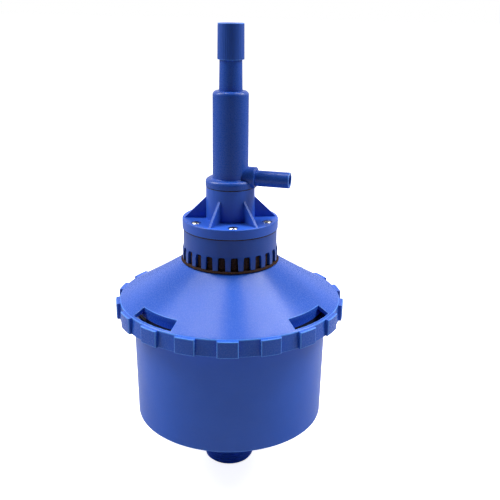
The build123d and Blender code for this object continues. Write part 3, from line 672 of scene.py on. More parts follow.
def turned(bm: bmesh.types.BMesh, profile: list[Point], steps: int, start: float = 0.0) -> None:
    """Spins a closed profile once round the axis.

    Args:
        bm: Mesh to add to.
        profile: Corners as radius and height.
        steps: Number of steps of the spin.
        start: Angle of the first step.
    """
    verts = [bm.verts.new(polar(radius, start, height)) for radius, height in profile]
    edges = [bm.edges.new(pair) for pair in zip(verts, verts[1:] + verts[:1])]
    bmesh.ops.spin(bm, geom=verts + edges, axis=(0, 0, 1), cent=(0, 0, 0), dvec=(0, 0, 0),
                   angle=math.tau, steps=steps, use_merge=True)
    poles = [vert for vert in bm.verts if vert.co.xy.length < 0.0001]
    bmesh.ops.remove_doubles(bm, verts=poles, dist=0.0001)
    bmesh.ops.dissolve_degenerate(bm, dist=0.00001, edges=bm.edges)


def round_rings(bm: bmesh.types.BMesh, rounds: dict[Point, float], segments: int = 3) -> None:
    """Rounds ring-shaped edges of a turned shape.

    Args:
        bm: Mesh to change.
        rounds: Size of the rounding for each radius and height.
        segments: Number of segments of the rounding.
    """
    for (radius, height), size in rounds.items():
        ring = [
            edge for edge in bm.edges
            if all(math.dist((vert.co.xy.length, vert.co.z), (radius, height)) < 0.02 for vert in edge.verts)
        ]
        bevel(bm, ring, size, segments)


def bevel(bm: bmesh.types.BMesh, edges: list[bmesh.types.BMEdge], size: float, segments: int = 2) -> None:
    """Rounds the given edges and marks the new faces as broken edges."""
    made = bmesh.ops.bevel(bm, geom=edges, offset=size, offset_type="OFFSET", segments=segments, profile=0.5,
                           affect="EDGES", clamp_overlap=True, material=-1)
    layer = bm.faces.layers.float[BROKEN_EDGE]
    for face in made["faces"]:
        # The mark lightens the plastic's colour on these faces, partly as edge wear and partly as painted highlight,
        # most on small rounds.
        face[layer] = min(1.0, 0.8 / size)


def sector(inner: float, outer: float, bottom: float, top: float, width: float) -> bmesh.types.BMesh:
    """A length of square-edged ring with its middle on +X.

    Args:
        inner: Inner radius.
        outer: Outer radius.
        bottom: Lower height.
        top: Upper height.
        width: Length in degrees.

    Returns:
        A new mesh.
    """
    bm = blank()
    place = Matrix.Translation(((inner + outer) / 2, 0, (bottom + top) / 2))
    stand = Matrix.Rotation(math.radians(90), 4, "X") @ Matrix.Diagonal((outer - inner, top - bottom, 1, 1))
    bmesh.ops.create_grid(bm, x_segments=1, y_segments=1, size=0.5, matrix=place @ stand)
    turn = Matrix.Rotation(math.radians(-width / 2), 3, "Z")
    bmesh.ops.rotate(bm, verts=bm.verts, cent=(0, 0, 0), matrix=turn)
    steps = max(2, round(width))
    bmesh.ops.spin(bm, geom=bm.verts[:] + bm.edges[:] + bm.faces[:], axis=(0, 0, 1), cent=(0, 0, 0),
                   dvec=(0, 0, 0), angle=math.radians(width), steps=steps)
    bmesh.ops.recalc_face_normals(bm, faces=bm.faces)
    return bm


def plate(outline: list[Point], thickness: float) -> bmesh.types.BMesh:
    """An upright plate that stands in the plane of the axis and +X.

    Args:
        outline: Corners as radius and height.
        thickness: Thickness of the plate.

    Returns:
        A new mesh.
    """
    bm = blank()
    verts = [bm.verts.new((radius, -thickness / 2, height)) for radius, height in outline]
    face = bmesh.ops.contextual_create(bm, geom=verts)["faces"]
    made = bmesh.ops.extrude_face_region(bm, geom=face)["geom"]
    moved = [item for item in made if isinstance(item, bmesh.types.BMVert)]
    bmesh.ops.translate(bm, verts=moved, vec=(0, thickness, 0))
    bmesh.ops.recalc_face_normals(bm, faces=bm.faces)
    return bm


def stamp(bm: bmesh.types.BMesh, shape: bmesh.types.BMesh, angles: list[float]) -> None:
    """Adds copies of a small shape at the given angles, and frees it.

    Args:
        bm: Mesh to add to.
        shape: The small shape, with its middle on +X.
        angles: Angles in degrees.
    """
    die = bpy.data.meshes.new("die")
    shape.to_mesh(die)
    shape.free()
    for angle in angles:
        pressed = die.copy()
        pressed.transform(Matrix.Rotation(math.radians(angle), 4, "Z"))
        bm.from_mesh(pressed)
        bpy.data.meshes.remove(pressed)
    bpy.data.meshes.remove(die)


def around(count: int, first: float) -> list[float]:
    """Evenly spaced angles in degrees."""
    return [first + 360 / count * number for number in range(count)]


def finished(bm: bmesh.types.BMesh, name: str, crisp: float = 38.0) -> bpy.types.Object:
    """Turns a mesh in millimetres into a shaded object in metres.

    Args:
        bm: The mesh, freed afterwards.
        name: Name of the object.
        crisp: Edges that turn by more than this many degrees stay sharp.

    Returns:
        The new object.
    """
    bmesh.ops.recalc_face_normals(bm, faces=bm.faces)
    bmesh.ops.scale(bm, vec=(MM, MM, MM), verts=bm.verts)
    for face in bm.faces:
        face.smooth = True
    for edge in bm.edges:
        edge.smooth = len(edge.link_faces) == 2 and edge.calc_face_angle(0.0) < math.radians(crisp)
    mesh = bpy.data.meshes.new(name)
    bm.to_mesh(mesh)
    bm.free()
    made = bpy.data.objects.new(name, mesh)
    bpy.context.scene.collection.objects.link(made)
    weighting = made.modifiers.new("weighted", "WEIGHTED_NORMAL")
    weighting.keep_sharp = True
    return made


@dataclass(frozen=True)
class Seat:
    """Where a new piece belongs: the CAD node it stands for, its body and its finish."""

    node: str
    body: str
    slot: str

    def dress(self, piece: bpy.types.Object, material: bpy.types.Material) -> bpy.types.Object:
        """Gives a piece its finish and hides the node it stands for.

        Args:
            piece: The new piece.
            material: Its finish.

        Returns:
            The same piece.
        """
        piece.data.materials.clear()
        piece.data.materials.append(material)
        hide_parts(self.node)
        LOG.info("%s: %d faces on %s", piece.name, len(piece.data.polygons), self.body)
        return piece

    def place(self, piece: bpy.types.Object, material: bpy.types.Material) -> bpy.types.Object:
        """Dresses a piece and seats it on its body.

        Args:
            piece: The new piece.
            material: Its finish.

        Returns:
            The same piece.
        """
        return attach(self.dress(piece, material), self.body)


# Base: cup and spigot


@dataclass
class OutletSpigot:
    """Pipe spigot with its parallel thread, relief and flange."""

    bore_r: float = 17.0
    thread_r: float = 20.955
    root_r: float = 19.476
    pitch: float = 2.309
    thread_turns: int = 10
    thread_start_z: float = 1.05
    thread_end_z: float = 25.0
    shank_r: float = 20.055
    flange_r: float = 26.005
    flange_z: float = 54.0
    top_z: float = 57.0
    steps: int = 96
    back: float = 106.45
    seat: Seat = Seat("outlet_spigot", "base", "spigot_plastic")

    def build(self, material: bpy.types.Material) -> None:
        """Builds the spigot: a core with a helical ridge round it."""
        bm = blank()
        turned(bm, [
            (self.bore_r, 0), (self.root_r, 0), (self.root_r, self.thread_end_z),
            (self.shank_r, self.thread_end_z + 0.4), (self.shank_r, self.flange_z),
            (self.flange_r, self.flange_z), (self.flange_r, self.top_z), (self.bore_r, self.top_z),
        ], self.steps)
        round_rings(bm, {(self.bore_r, 0): 0.4, (self.root_r, 0): 0.4, (self.flange_r, self.top_z): 0.5})
        self.add_ridge(bm)
        self.seat.place(finished(bm, "spigot_thread_and_flange"), material)

    def add_ridge(self, bm: bmesh.types.BMesh) -> None:
        """Winds the thread's ridge round the core."""
        ridge = blank()
        section = [(self.root_r - 0.15, -0.95), (self.thread_r, -0.2), (self.thread_r, 0.2),
                   (self.root_r - 0.15, 0.95)]
        verts = [ridge.verts.new((radius, 0, self.thread_start_z + up)) for radius, up in section]
        bmesh.ops.contextual_create(ridge, geom=verts)
        bmesh.ops.spin(ridge, geom=ridge.verts[:] + ridge.edges[:] + ridge.faces[:], axis=(0, 0, 1),
                       cent=(0, 0, 0), dvec=(0, 0, self.pitch / 60), angle=math.tau * self.thread_turns,
                       steps=60 * self.thread_turns)
        bmesh.ops.recalc_face_normals(ridge, faces=ridge.faces)
        stamp(bm, ridge, [self.back])


@dataclass
class LowerCup:
    """Wide cup with hub, gussets, bayonet cams and stops."""

    bottom_z: float = 50.5
    floor_z: float = 54.0
    rim_z: float = 147.0
    bottom_r: float = 79.0
    rim_r: float = 80.6
    wall: float = 3.0
    hub_r: float = 27.005
    hole_r: float = 20.105
    hub_z: float = 26.0
    gussets: int = 8
    gusset_r: float = 68.0
    gusset_thickness: float = 2.5
    cams: int = 4
    cam_clocking: float = 63.4
    cam_r: float = 88.6
    cam_z: float = 143.6
    cam_width: float = 26.0
    stop_width: float = 2.2
    stop_z: float = 140.3
    steps: int = 288
    seat: Seat = Seat("lower_cup", "base", "cup_plastic")

    def build(self, material: bpy.types.Material) -> None:
        """Builds the cup's wall, floor and hub, then what stands on them."""
        bm = blank()
        turned(bm, [
            (self.hole_r, self.hub_z), (self.hub_r, self.hub_z), (self.hub_r, self.bottom_z),
            (self.bottom_r, self.bottom_z), (self.rim_r, self.rim_z),
            (self.rim_r - self.wall, self.rim_z), (self.bottom_r - self.wall, self.floor_z),
            (self.hole_r, self.floor_z),
        ], self.steps)
        round_rings(bm, {(self.bottom_r, self.bottom_z): 1.2, (self.rim_r, self.rim_z): 0.3,
                         (self.rim_r - self.wall, self.rim_z): 0.3, (self.hub_r, self.hub_z): 0.4})
        round_rings(bm, {(self.bottom_r - self.wall, self.floor_z): 5.0}, 6)
        self.add_gussets(bm)
        self.add_cams(bm)
        self.seat.place(finished(bm, "cup_body"), material)

    def add_gussets(self, bm: bmesh.types.BMesh) -> None:
        """Stands the gussets between hub and floor."""
        gusset = plate([
            (self.hub_r - 1, self.hub_z + 2), (self.hub_r, self.hub_z + 2), (self.gusset_r, self.bottom_z),
            (self.gusset_r, self.bottom_z + 1), (self.hub_r - 1, self.bottom_z + 1),
        ], self.gusset_thickness)
        low = [edge for edge in gusset.edges if edge.calc_length() > 40 and
               min(vert.co.z for vert in edge.verts) < self.hub_z + 3]
        bevel(gusset, low, 0.3)
        stamp(bm, gusset, around(self.gussets, 0))

    def add_cams(self, bm: bmesh.types.BMesh) -> None:
        """Sets the bayonet cams and their stops on the rim."""
        root_r = self.rim_r - self.wall / 2
        cam = sector(root_r, self.cam_r, self.cam_z, self.rim_z - 0.02, self.cam_width)
        bevel(cam, outer_edges(cam, self.cam_r), 0.3)
        stop = sector(root_r, self.cam_r, self.stop_z, self.rim_z - 0.04, self.stop_width)
        bevel(stop, outer_edges(stop, self.cam_r), 0.3)
        turn = (self.cam_width + self.stop_width) / 2
        stamp(bm, cam, around(self.cams, self.cam_clocking))
        stamp(bm, stop, around(self.cams, self.cam_clocking - turn))


def outer_edges(bm: bmesh.types.BMesh, radius: float) -> list[bmesh.types.BMEdge]:
    """The edges round a sector's outer face."""
    return [
        edge for edge in bm.edges
        if all(abs(vert.co.xy.length - radius) < 0.01 for vert in edge.verts)
        and edge.calc_face_angle(0.0) > math.radians(30)
    ]


# Head: lid, neck, cover, tower and nipple


@dataclass
class Lid:
    """Cone-shaped lid with rim, grip lugs, windows, inner skirt, ledges, webs and throat."""

    skirt_r: float = 89.8
    rim_bottom_r: float = 92.7
    rim_top_r: float = 91.6
    bottom_z: float = 140.3
    rim_z: float = 153.8
    neck_r: float = 38.7
    neck_z: float = 186.2
    sag: float = 0.65
    wall_drop: float = 3.518
    pocket_r: float = 37.2
    pocket_wall_r: float = 40.2
    shelf_z: float = 179.0
    shelf_wall: float = 3.0
    throat_r: float = 26.7
    throat_outer_r: float = 30.0
    throat_z: float = 165.0
    land_r: float = 21.0
    land_z: float = 168.0
    inner_skirt_r: float = 77.0
    outer_skirt_r: float = 80.0
    inner_skirt_z: float = 150.8
    window_inner_r: float = 80.4
    window_outer_r: float = 89.4
    window_width: float = 27.0
    windows: int = 4
    clocking: float = 63.4
    lugs: int = 18
    lug_clocking: float = 5.5
    lug_r: float = 94.9
    lug_width: float = 9.9
    ledge_r: float = 80.8
    ledge_z: float = 143.3
    ledge_width: float = 26.0
    ledge_lead: float = 22.0
    webs: int = 8
    web_thickness: float = 2.0
    seat: Seat = Seat("lid", "head", "lid_plastic")

    def cone_z(self, radius: float) -> float:
        """Height of the slightly hollow cone at a radius."""
        share = (self.rim_top_r - radius) / (self.rim_top_r - self.neck_r)
        rise = self.neck_z - self.rim_z
        return self.rim_z + share * rise - 4 * self.sag * share * (1 - share)

    def roof_z(self, radius: float) -> float:
        """Height of the roof's underside between the inner skirt and the rim."""
        low, high = self.cone_z(self.skirt_r), self.cone_z(self.outer_skirt_r)
        share = (self.skirt_r - radius) / (self.skirt_r - self.outer_skirt_r)
        return low + (high - low) * share - self.wall_drop

    def profile(self) -> list[Point]:
        """Corners of the lid's section, round from the skirt's root."""
        over = [self.window_outer_r, self.window_inner_r, 76, 71, 66, 61, 56, 51, 46, 42]
        under = [45, 51, 57, 63, 69, 74]
        return [
            (self.skirt_r, self.roof_z(self.skirt_r)),
            (self.skirt_r, self.bottom_z),
            (self.rim_bottom_r, self.bottom_z),
            (self.rim_top_r, self.rim_z),
            *((radius, self.cone_z(radius)) for radius in over),
            (self.neck_r, self.neck_z),
            (self.pocket_r, self.neck_z - 1.2),
            (self.pocket_r, self.shelf_z),
            (self.throat_r, self.shelf_z),
            (self.throat_r, self.land_z),
            (self.land_r, self.land_z),
            (self.land_r, self.throat_z),
            (self.throat_outer_r, self.throat_z),
            (self.throat_outer_r, self.shelf_z - self.shelf_wall),
            (self.pocket_wall_r, self.shelf_z - self.shelf_wall),
            (self.pocket_wall_r, self.cone_z(self.pocket_wall_r) - self.wall_drop),
            *((radius, self.cone_z(radius) - self.wall_drop) for radius in under),
            (self.inner_skirt_r, self.cone_z(self.inner_skirt_r) - self.wall_drop),
            (self.inner_skirt_r, self.inner_skirt_z),
            (self.outer_skirt_r, self.inner_skirt_z),
            (self.outer_skirt_r, self.roof_z(self.outer_skirt_r)),
            (self.window_inner_r, self.roof_z(self.window_inner_r)),
            (self.window_outer_r, self.roof_z(self.window_outer_r)),
        ]

    def build(self, material: bpy.types.Material) -> None:
        """Builds the lid's shell, opens the windows and adds lugs, ledges and webs."""
        bm = blank()
        first = (self.clocking - self.window_width / 2) % 1
        turned(bm, self.profile(), 360, first)
        round_rings(bm, {
            (self.rim_bottom_r, self.bottom_z): 0.45, (self.rim_top_r, self.rim_z): 0.7,
            (self.neck_r, self.neck_z): 0.7, (self.skirt_r, self.bottom_z): 0.3,
            (self.inner_skirt_r, self.inner_skirt_z): 0.3, (self.outer_skirt_r, self.inner_skirt_z): 0.3,
            (self.throat_outer_r, self.throat_z): 0.4,
        })
        self.open_windows(bm)
        self.add_lugs(bm)
        width = self.ledge_width + self.ledge_lead
        ledge = sector(self.ledge_r, self.skirt_r + 0.6, self.bottom_z + 0.02, self.ledge_z, width)
        stamp(bm, ledge, around(self.windows, self.clocking + self.ledge_lead / 2))
        stamp(bm, self.web(), around(self.webs, self.clocking))
        self.seat.place(finished(bm, "lid_cone_and_rim"), material)

    def in_window(self, point: Vector) -> bool:
        """Whether a point of the roof lies in a window."""
        spacing = 360 / self.windows
        angle = math.degrees(math.atan2(point.y, point.x)) - self.clocking
        off = abs((angle + spacing / 2) % spacing - spacing / 2)
        return off < self.window_width / 2 and self.window_inner_r < point.xy.length < self.window_outer_r

    def open_windows(self, bm: bmesh.types.BMesh) -> None:
        """Takes the roof's faces away in each window, closes the walls and rounds the upper edge."""
        gone = [face for face in bm.faces if self.in_window(face.calc_center_median())]
        bmesh.ops.delete(bm, geom=gone, context="FACES")
        rims = [edge for edge in bm.edges if edge.is_boundary]
        for centre in around(self.windows, self.clocking):
            middle = polar(85, centre, 155)
            near = [edge for edge in rims if (edge.verts[0].co - middle).length < 40]
            bmesh.ops.bridge_loops(bm, edges=near)
        upper = [edge for edge in rims if edge.verts[0].co.z > self.roof_z(edge.verts[0].co.xy.length) + 1]
        bevel(bm, upper, 0.4)

    def add_lugs(self, bm: bmesh.types.BMesh) -> None:
        """Sets the grip lugs round the rim, each with a rounded outer face."""
        lug = sector(self.skirt_r + 1.2, self.lug_r, self.bottom_z + 0.02, self.rim_z, self.lug_width)
        bevel(lug, outer_edges(lug, self.lug_r), 0.8, 3)
        stamp(bm, lug, around(self.lugs, self.lug_clocking))

    def web(self) -> bmesh.types.BMesh:
        """One of the webs between throat and inner skirt."""
        near, far = self.pocket_wall_r - 1, self.inner_skirt_r + 1
        return plate([
            (self.throat_r + 1, self.shelf_z - 2), (self.throat_r + 1, self.throat_z + 2),
            (self.throat_outer_r, self.throat_z + 2), (far, self.inner_skirt_z + 1),
            (far, self.cone_z(far) - self.wall_drop / 2), (near, self.cone_z(near) - self.wall_drop / 2),
            (near, self.shelf_z - 2),
        ], self.web_thickness)


@dataclass
class FlatRing:
    """A soft ring with slightly bulged edges."""

    name: str
    seat: Seat
    inner_r: float
    outer_r: float
    bottom_z: float
    top_z: float

    def build(self, material: bpy.types.Material) -> None:
        """Builds the ring."""
        bm = blank()
        middle = (self.bottom_z + self.top_z) / 2
        inset = (self.top_z - self.bottom_z) * 0.06
        turned(bm, [
            (self.inner_r + inset, self.bottom_z), (self.outer_r - inset, self.bottom_z),
            (self.outer_r, middle), (self.outer_r - inset, self.top_z),
            (self.inner_r + inset, self.top_z), (self.inner_r, middle),
        ], 240)
        self.seat.place(finished(bm, self.name), material)


@dataclass
class FoamRing:
    """Open-cell foam ring that swells out below the comb and a little into its slots."""

    inner_r: float = 26.95
    pocket_r: float = 36.85
    comb_r: float = 35.9
    bottom_z: float = 179.05
    lip_r: float = 40.4
    lip_z: float = 186.0
    neck_z: float = 186.3
    tip_z: float = 187.75
    top_z: float = 199.55
    slots: int = 24
    slot_clocking: float = 6.45
    slot_half_width: float = 2.7
    slot_top_z: float = 198.3
    swell: float = 1.35
    rough: float = 0.3
    seat: Seat = Seat("neck_filter", "head", "brown_foam")

    def build(self, material: bpy.types.Material) -> None:
        """Builds the ring, swells it into the slots and roughens its skin into open cells."""
        bm = blank()
        turned(bm, self.profile(), 480, self.slot_clocking)
        bmesh.ops.recalc_face_normals(bm, faces=bm.faces)
        bm.normal_update()
        for vert in bm.verts:
            vert.co.xy *= 1 + self.bulge(vert.co) / max(vert.co.xy.length, 1)
            cell = noise.cell(vert.co * 1.7)
            coarse = noise.noise(vert.co * 0.8) * 0.5 + 0.5
            fine = noise.noise(vert.co * 2.4) * 0.5 + 0.5
            vert.co -= vert.normal * self.rough * (0.45 * cell + 0.3 * coarse + 0.25 * fine)
        piece = self.seat.place(finished(bm, "foam_ring", 80), material)

    def bulge(self, point: Vector) -> float:
        """How far the skin swells outwards at a point, which is only inside a slot."""
        radius = point.xy.length
        if radius < self.comb_r - 0.1 or not self.tip_z + 0.3 < point.z < self.slot_top_z:
            return 0.0
        spacing = 360 / self.slots
        angle = math.degrees(math.atan2(point.y, point.x)) - self.slot_clocking
        off = abs((angle + spacing / 2) % spacing - spacing / 2)
        across = math.radians(off) * radius / self.slot_half_width
        top = min(1.0, (self.slot_top_z - point.z) / 1.2)
        return self.swell * max(0.0, 1 - across ** 4) ** 0.5 * max(0.0, top) ** 0.5

    def profile(self) -> list[Point]:
        """Corners of the section, close together on the side that shows."""
        low = [(self.pocket_r, self.bottom_z + (184.9 - self.bottom_z) * share / 5) for share in range(6)]
        lip = [(37.6, self.neck_z), (38.9, self.neck_z), (39.6, self.lip_z), (self.lip_r - 0.25, self.lip_z - 0.05),
               (self.lip_r, self.lip_z + 0.4), (self.lip_r - 0.2, self.lip_z + 0.9), (39.9, self.tip_z - 0.45),
               (39.2, self.tip_z - 0.1), (38.0, self.tip_z), (36.9, self.tip_z)]
        rise = self.top_z - self.tip_z - 0.3
        high = [(self.comb_r, self.tip_z + 0.3 + rise * share / 18) for share in range(19)]
        roof = [(35.0, self.top_z), (32.0, self.top_z), (29.0, self.top_z)]
        inside = [(self.inner_r, self.top_z - 4.1 * step) for step in range(6)]
        return [(30.0, self.bottom_z), (33.5, self.bottom_z), *low, *lip, *high, *roof, *inside]


@dataclass
class SensingNipple:
    """Plain hose tube that is bonded into the port's boss."""

    bore_r: float = 4.5
    tube_r: float = 6.35
    tenon_r: float = 5.9
    tenon_x: float = 13.2
    tube_x: float = 22.0
    end_x: float = 48.8
    axis_z: float = 255.0
    seat: Seat = Seat("sensing_nipple", "head", "tower_plastic")

    def build(self, material: bpy.types.Material) -> None:
        """Turns the tube upright and lays it along +X."""
        bm = blank()
        turned(bm, [
            (self.bore_r, self.tenon_x), (self.tenon_r, self.tenon_x), (self.tenon_r, self.tube_x),
            (self.tube_r, self.tube_x), (self.tube_r, self.end_x), (self.bore_r, self.end_x),
        ], 72)
        round_rings(bm, {(self.tube_r, self.end_x): 0.5, (self.bore_r, self.end_x): 0.35,
                         (self.tube_r, self.tube_x): 0.15})
        lay = Matrix.Translation((0, 0, self.axis_z)) @ Matrix.Rotation(math.radians(90), 4, "Y")
        bmesh.ops.transform(bm, matrix=lay, verts=bm.verts)
        self.seat.place(finished(bm, "hose_nipple"), material)


@dataclass
class CoverScrews:
    """Six pan-head screws with a cross recess."""

    circle_r: float = 32.3
    count: int = 6
    clocking: float = 50.5
    seat_z: float = 219.8
    head_r: float = 3.7
    head_height: float = 2.1
    shank_r: float = 1.95
    length: float = 14.5
    recess_r: float = 1.75
    seat: Seat = Seat("cover_screws", "head", "screw_steel")

    def build(self, material: bpy.types.Material) -> None:
        """Builds one screw and sets six of them round the cover, each turned its own way."""
        bm = blank()
        for number, angle in enumerate(around(self.count, self.clocking)):
            screw = self.screw()
            bmesh.ops.rotate(screw, verts=screw.verts, cent=(0, 0, 0),
                             matrix=Matrix.Rotation(math.radians(17 + 41 * number), 3, "Z"))
            bmesh.ops.translate(screw, verts=screw.verts, vec=(self.circle_r, 0, self.seat_z))
            stamp(bm, screw, [angle])
        self.seat.place(finished(bm, "pan_head_screws"), material)

    def screw(self) -> bmesh.types.BMesh:
        """One screw on the axis with its head's seat at height 0."""
        bm = blank()
        crown_r = self.recess_r + 0.3
        profile = [(crown_r, self.head_height), (2.9, self.head_height - 0.25), (3.4, self.head_height - 0.7),
                   (self.head_r, self.head_height - 1.3), (self.head_r, 0.15), (self.head_r - 0.15, 0),
                   (self.shank_r, 0), (self.shank_r, 0.6 - self.length), (0.9, -self.length), (0, -self.length)]
        verts = [bm.verts.new((radius, 0, height)) for radius, height in profile]
        edges = [bm.edges.new(pair) for pair in zip(verts, verts[1:])]
        bmesh.ops.spin(bm, geom=verts + edges, axis=(0, 0, 1), cent=(0, 0, 0), dvec=(0, 0, 0),
                       angle=math.tau, steps=36, use_merge=True)
        bmesh.ops.remove_doubles(bm, verts=bm.verts, dist=0.001)
        mouth = [edge for edge in bm.edges if edge.is_boundary]
        bmesh.ops.bridge_loops(bm, edges=mouth + self.sink_cross(bm))
        return bm

    def sink_cross(self, bm: bmesh.types.BMesh) -> list[bmesh.types.BMEdge]:
        """Adds the cross recess and returns the edges of its mouth."""
        made = bmesh.ops.create_grid(bm, x_segments=3, y_segments=3, size=1.5,
                                     matrix=Matrix.Translation((0, 0, self.head_height)))
        faces = list({face for vert in made["verts"] for face in vert.link_faces})
        corners = [face for face in faces if face.calc_center_median().xy.length > 1.2]
        bmesh.ops.delete(bm, geom=corners, context="FACES")
        cross = [face for face in faces if face.is_valid]
        for vert in {vert for face in cross for vert in face.verts}:
            for axis in (0, 1):
                reach = self.recess_r if abs(vert.co[axis]) > 1 else 0.42
                vert.co[axis] = math.copysign(reach, vert.co[axis])
        mouth = [edge for edge in {edge for face in cross for edge in face.edges} if edge.is_boundary]
        sunk = bmesh.ops.extrude_face_region(bm, geom=cross)["geom"]
        bmesh.ops.delete(bm, geom=cross, context="FACES_ONLY")
        floor = [item for item in sunk if isinstance(item, bmesh.types.BMVert)]
        bmesh.ops.scale(bm, vec=(0.55, 0.55, 1), verts=floor)
        bmesh.ops.translate(bm, verts=floor, vec=(0, 0, -1.3))
        return mouth


def carried(node: str) -> bmesh.types.BMesh:
    """Copies a CAD node's shape as one skin in millimetres, with its flat faces joined.

    Args:
        node: The CAD node.

    Returns:
        The copy.
    """
    bm = blank()
    bm.from_mesh(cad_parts[node].data)
    bmesh.ops.scale(bm, vec=(1000, 1000, 1000), verts=bm.verts)
    bmesh.ops.remove_doubles(bm, verts=bm.verts, dist=0.002)
    bmesh.ops.dissolve_limit(bm, angle_limit=math.radians(0.3), use_dissolve_boundaries=False,
                             verts=bm.verts, edges=bm.edges)
    return bm


@dataclass
class RollingDiaphragm:
    """Rubber diaphragm, clamped at its rim, whose middle rises with the valve."""

    clamp_z: float = 212.7
    middle_top_z: float = 212.0
    seat: Seat = Seat("main_diaphragm", "head", "black_rubber")

    def build(self, material: bpy.types.Material) -> None:
        """Carries the node's shape over and lets its middle follow the valve."""
        piece = self.seat.dress(finished(carried(self.seat.node), "rolling_diaphragm", 32), material)
        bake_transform(piece, "head", "valve", start=(0, 0, self.clamp_z * MM), end=(0, 0, self.middle_top_z * MM))


@dataclass
class CarriedShape:
    """A CAD node's own shape, merged into one skin and given softly broken edges."""

    node: str
    body: str
    slot: str
    name: str
    broken: float = 0.22

    def build(self, material: bpy.types.Material) -> None:
        """Carries the node's shape over and bevels its corners."""
        bm = carried(self.node)
        corners = [edge for edge in bm.edges
                   if edge.is_manifold and edge.calc_face_angle(0.0) > math.radians(40) and edge.is_convex]
        bevel(bm, corners, self.broken)
        Seat(self.node, self.body, self.slot).place(finished(bm, self.name, 32), material)


# Spring and adjuster


@dataclass
class RegulatingSpring:
    """Compression spring with a closed coil at each end."""

    coil_r: float = 8.9
    wire_r: float = 0.88
    foot_z: float = 214.2
    top_z: float = 288.2
    turns: int = 9
    per_turn: int = 36
    travel: float = 19.5
    seat: Seat = Seat("regulating_spring", "valve", "spring_steel")

    def build(self, material: bpy.types.Material) -> None:
        """Winds the wire: a closed coil, the open coils and a closed coil."""
        bm = blank()
        start = Matrix.Translation((self.coil_r, 0, self.foot_z + self.wire_r + 0.02))
        stand = Matrix.Rotation(math.radians(90), 4, "X")
        bmesh.ops.create_circle(bm, cap_ends=True, segments=12, radius=self.wire_r, matrix=start @ stand)
        closed = 1.06 * 2 * self.wire_r
        length = self.top_z - self.foot_z - 2 * self.wire_r - 0.04
        opened = (length - 2 * closed) / (self.turns - 2)
        last = bm.verts[:] + bm.edges[:] + bm.faces[:]
        for turns, pitch in ((1, closed), (self.turns - 2, opened), (1, closed)):
            last = bmesh.ops.spin(bm, geom=last, axis=(0, 0, 1), cent=(0, 0, 0),
                                  dvec=(0, 0, pitch / self.per_turn), angle=math.tau * turns,
                                  steps=turns * self.per_turn)["geom_last"]
        piece = self.seat.place(finished(bm, "spring_coil", 60), material)
        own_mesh(piece)


@dataclass
class Adjuster:
    """Spindle with its collar, and the finely fluted knob pressed on it."""

    spindle_z: float = 301.2
    collar_z: float = 317.7
    collar_r: float = 10.92
    neck_base_r: float = 9.2
    neck_top_r: float = 8.75
    knob_z: float = 346.2
    shank_r: float = 6.4
    shank_z: float = 367.9
    ball_pocket: float = 2.05
    knob_bottom_r: float = 10.4
    knob_top_r: float = 10.15
    knob_top_z: float = 372.9
    flutes: int = 40
    flute_depth: float = 0.13
    spindle_seat: Seat = Seat("adjuster_spindle", "adjuster", "spindle_plastic")
    knob_seat: Seat = Seat("adjuster_knob", "adjuster", "knob_plastic")

    def build(self, spindle_finish: bpy.types.Material, knob_finish: bpy.types.Material) -> None:
        """Builds spindle and knob."""
        bm = blank()
        pocket = self.spindle_z + self.ball_pocket
        turned(bm, [
            (0, pocket), (2.0, pocket - 0.5), (3.3, pocket - 1.4), (3.53, self.spindle_z),
            (self.collar_r, self.spindle_z), (self.collar_r, self.collar_z),
            (self.neck_base_r, self.collar_z), (self.neck_top_r, self.knob_z),
            (self.shank_r, self.knob_z), (self.shank_r, self.shank_z), (0, self.shank_z),
        ], 96)
        round_rings(bm, {(self.collar_r, self.collar_z): 0.4, (self.shank_r, self.shank_z): 0.8})
        self.spindle_seat.place(finished(bm, "spindle_neck"), spindle_finish)
        self.build_knob(knob_finish)

    def build_knob(self, material: bpy.types.Material) -> None:
        """Turns the knob and presses fine flutes into its wall."""
        bm = blank()
        bore, roof = self.shank_r + 0.05, self.shank_z + 0.05
        turned(bm, [
            (bore, self.knob_z), (self.knob_bottom_r, self.knob_z), (self.knob_top_r, self.knob_top_z),
            (0, self.knob_top_z), (0, roof), (bore, roof),
        ], self.flutes * 6)
        round_rings(bm, {(self.knob_top_r, self.knob_top_z): 0.5, (self.knob_bottom_r, self.knob_z): 0.3})
        for vert in bm.verts:
            radius = vert.co.xy.length
            if radius > self.knob_top_r - 0.6 and self.knob_z + 0.1 < vert.co.z < self.knob_top_z - 0.1:
                wave = 0.5 - 0.5 * math.cos(self.flutes * math.atan2(vert.co.y, vert.co.x))
                vert.co.xy *= 1 - self.flute_depth * wave ** 3 / radius
        self.knob_seat.place(finished(bm, "fluted_knob", 50), material)


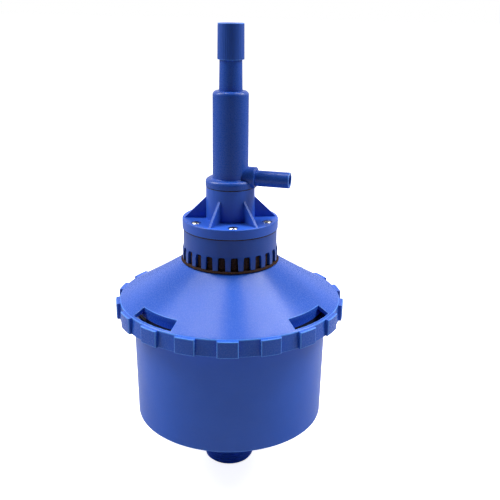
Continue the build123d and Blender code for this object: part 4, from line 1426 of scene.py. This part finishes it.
@dataclass
class Wardrobe:
    """The finishes, and which CAD node wears which."""

    shelf: EffectShelf
    kept: dict[str, str] = field(default_factory=lambda: {
        "valve_seat": "acetal", "seat_oring": "rubber", "stem_bush": "acetal",
        "spring_tower": "tower_blue_painted_shade",
        "valve_plug": "acetal", "plug_seal": "rubber", "seal_washer": "steel", "seal_nut": "steel",
        "valve_stem": "steel", "diaphragm_plate_lower": "steel", "diaphragm_plate_upper": "steel",
        "plate_washer": "steel", "plate_nut": "steel", "spring_follower": "acetal",
        "follower_oring": "rubber", "thrust_ball": "ball_steel",
    })

    def open(self) -> dict[str, bpy.types.Material]:
        """Builds every finish once.

        Returns:
            Materials by name.
        """
        finishes = [
            MouldedPlastic("cup_blue", roughness=0.34),
            MouldedPlastic("lid_blue", (0.032, 0.130, 0.666), (0.027, 0.112, 0.585),
                           roughness=0.27, grain=1150.0, relief=0.00005, shine=0.30),
            MouldedPlastic("spigot_blue", roughness=0.38),
            # The neck, tower and knob blues are the cup's plastic made darker, which is painted shade.
            MouldedPlastic("neck_blue_painted_shade", (0.020, 0.087, 0.440), (0.018, 0.077, 0.390)),
            MouldedPlastic("cover_blue", (0.032, 0.130, 0.660), (0.028, 0.112, 0.580), roughness=0.38),
            MouldedPlastic("tower_blue_painted_shade", (0.022, 0.096, 0.510), (0.019, 0.085, 0.450), roughness=0.31),
            MouldedPlastic("knob_blue_painted_shade", (0.024, 0.096, 0.490), (0.020, 0.083, 0.425)),
            OpenFoam("foam_brown"),
            Rubber("rubber"),
            Metal("steel"),
            Metal("screw_steel", colour=(0.78, 0.76, 0.70), dull=(0.60, 0.58, 0.53), roughness=0.2),
            Metal("spring_steel", colour=(0.45, 0.45, 0.46), dull=(0.30, 0.30, 0.31), roughness=0.3),
            Metal("ball_steel", colour=(0.70, 0.70, 0.70), dull=(0.62, 0.62, 0.62), roughness=0.08),
            PalePlastic("acetal"),
        ]
        return {finish.name: finish.material(self.shelf) for finish in finishes}

    def dress(self, materials: dict[str, bpy.types.Material]) -> None:
        """Gives each carried-over CAD node its finish."""
        for name, finish in self.kept.items():
            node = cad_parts[name]
            node.data.materials.clear()
            node.data.materials.append(materials[finish])
            LOG.info("%s keeps its CAD shape in %s", name, finish)


def main() -> None:
    """Builds the set, the new pieces and the finishes, sub-assembly by sub-assembly."""
    logging.basicConfig(level=logging.INFO, format="%(message)s")
    shelf = EffectShelf()
    Studio(shelf).build()
    wardrobe = Wardrobe(shelf)
    wear = wardrobe.open()
    OutletSpigot().build(wear["spigot_blue"])
    LowerCup().build(wear["cup_blue"])
    Lid().build(wear["lid_blue"])
    CarriedShape("neck_ring", "head", "neck_plastic", "slotted_neck").build(wear["neck_blue_painted_shade"])
    FoamRing().build(wear["foam_brown"])
    CarriedShape("diaphragm_cover", "head", "cover_plastic", "ribbed_cover").build(wear["cover_blue"])
    RollingDiaphragm().build(wear["rubber"])
    CoverScrews().build(wear["screw_steel"])
    SensingNipple().build(wear["tower_blue_painted_shade"])
    RegulatingSpring().build(wear["spring_steel"])
    Adjuster().build(wear["tower_blue_painted_shade"], wear["knob_blue_painted_shade"])
    FlatRing("skirt_gasket", Seat("lid_gasket", "head", "black_rubber"), 77.0, 80.0, 147.3, 150.8).build(wear["rubber"])
    FlatRing("boss_gasket", Seat("tower_gasket", "head", "black_rubber"), 16.6, 19.5, 246.9, 247.8).build(wear["rubber"])
    wardrobe.dress(wear)


if __name__ == "__main__":
    main()
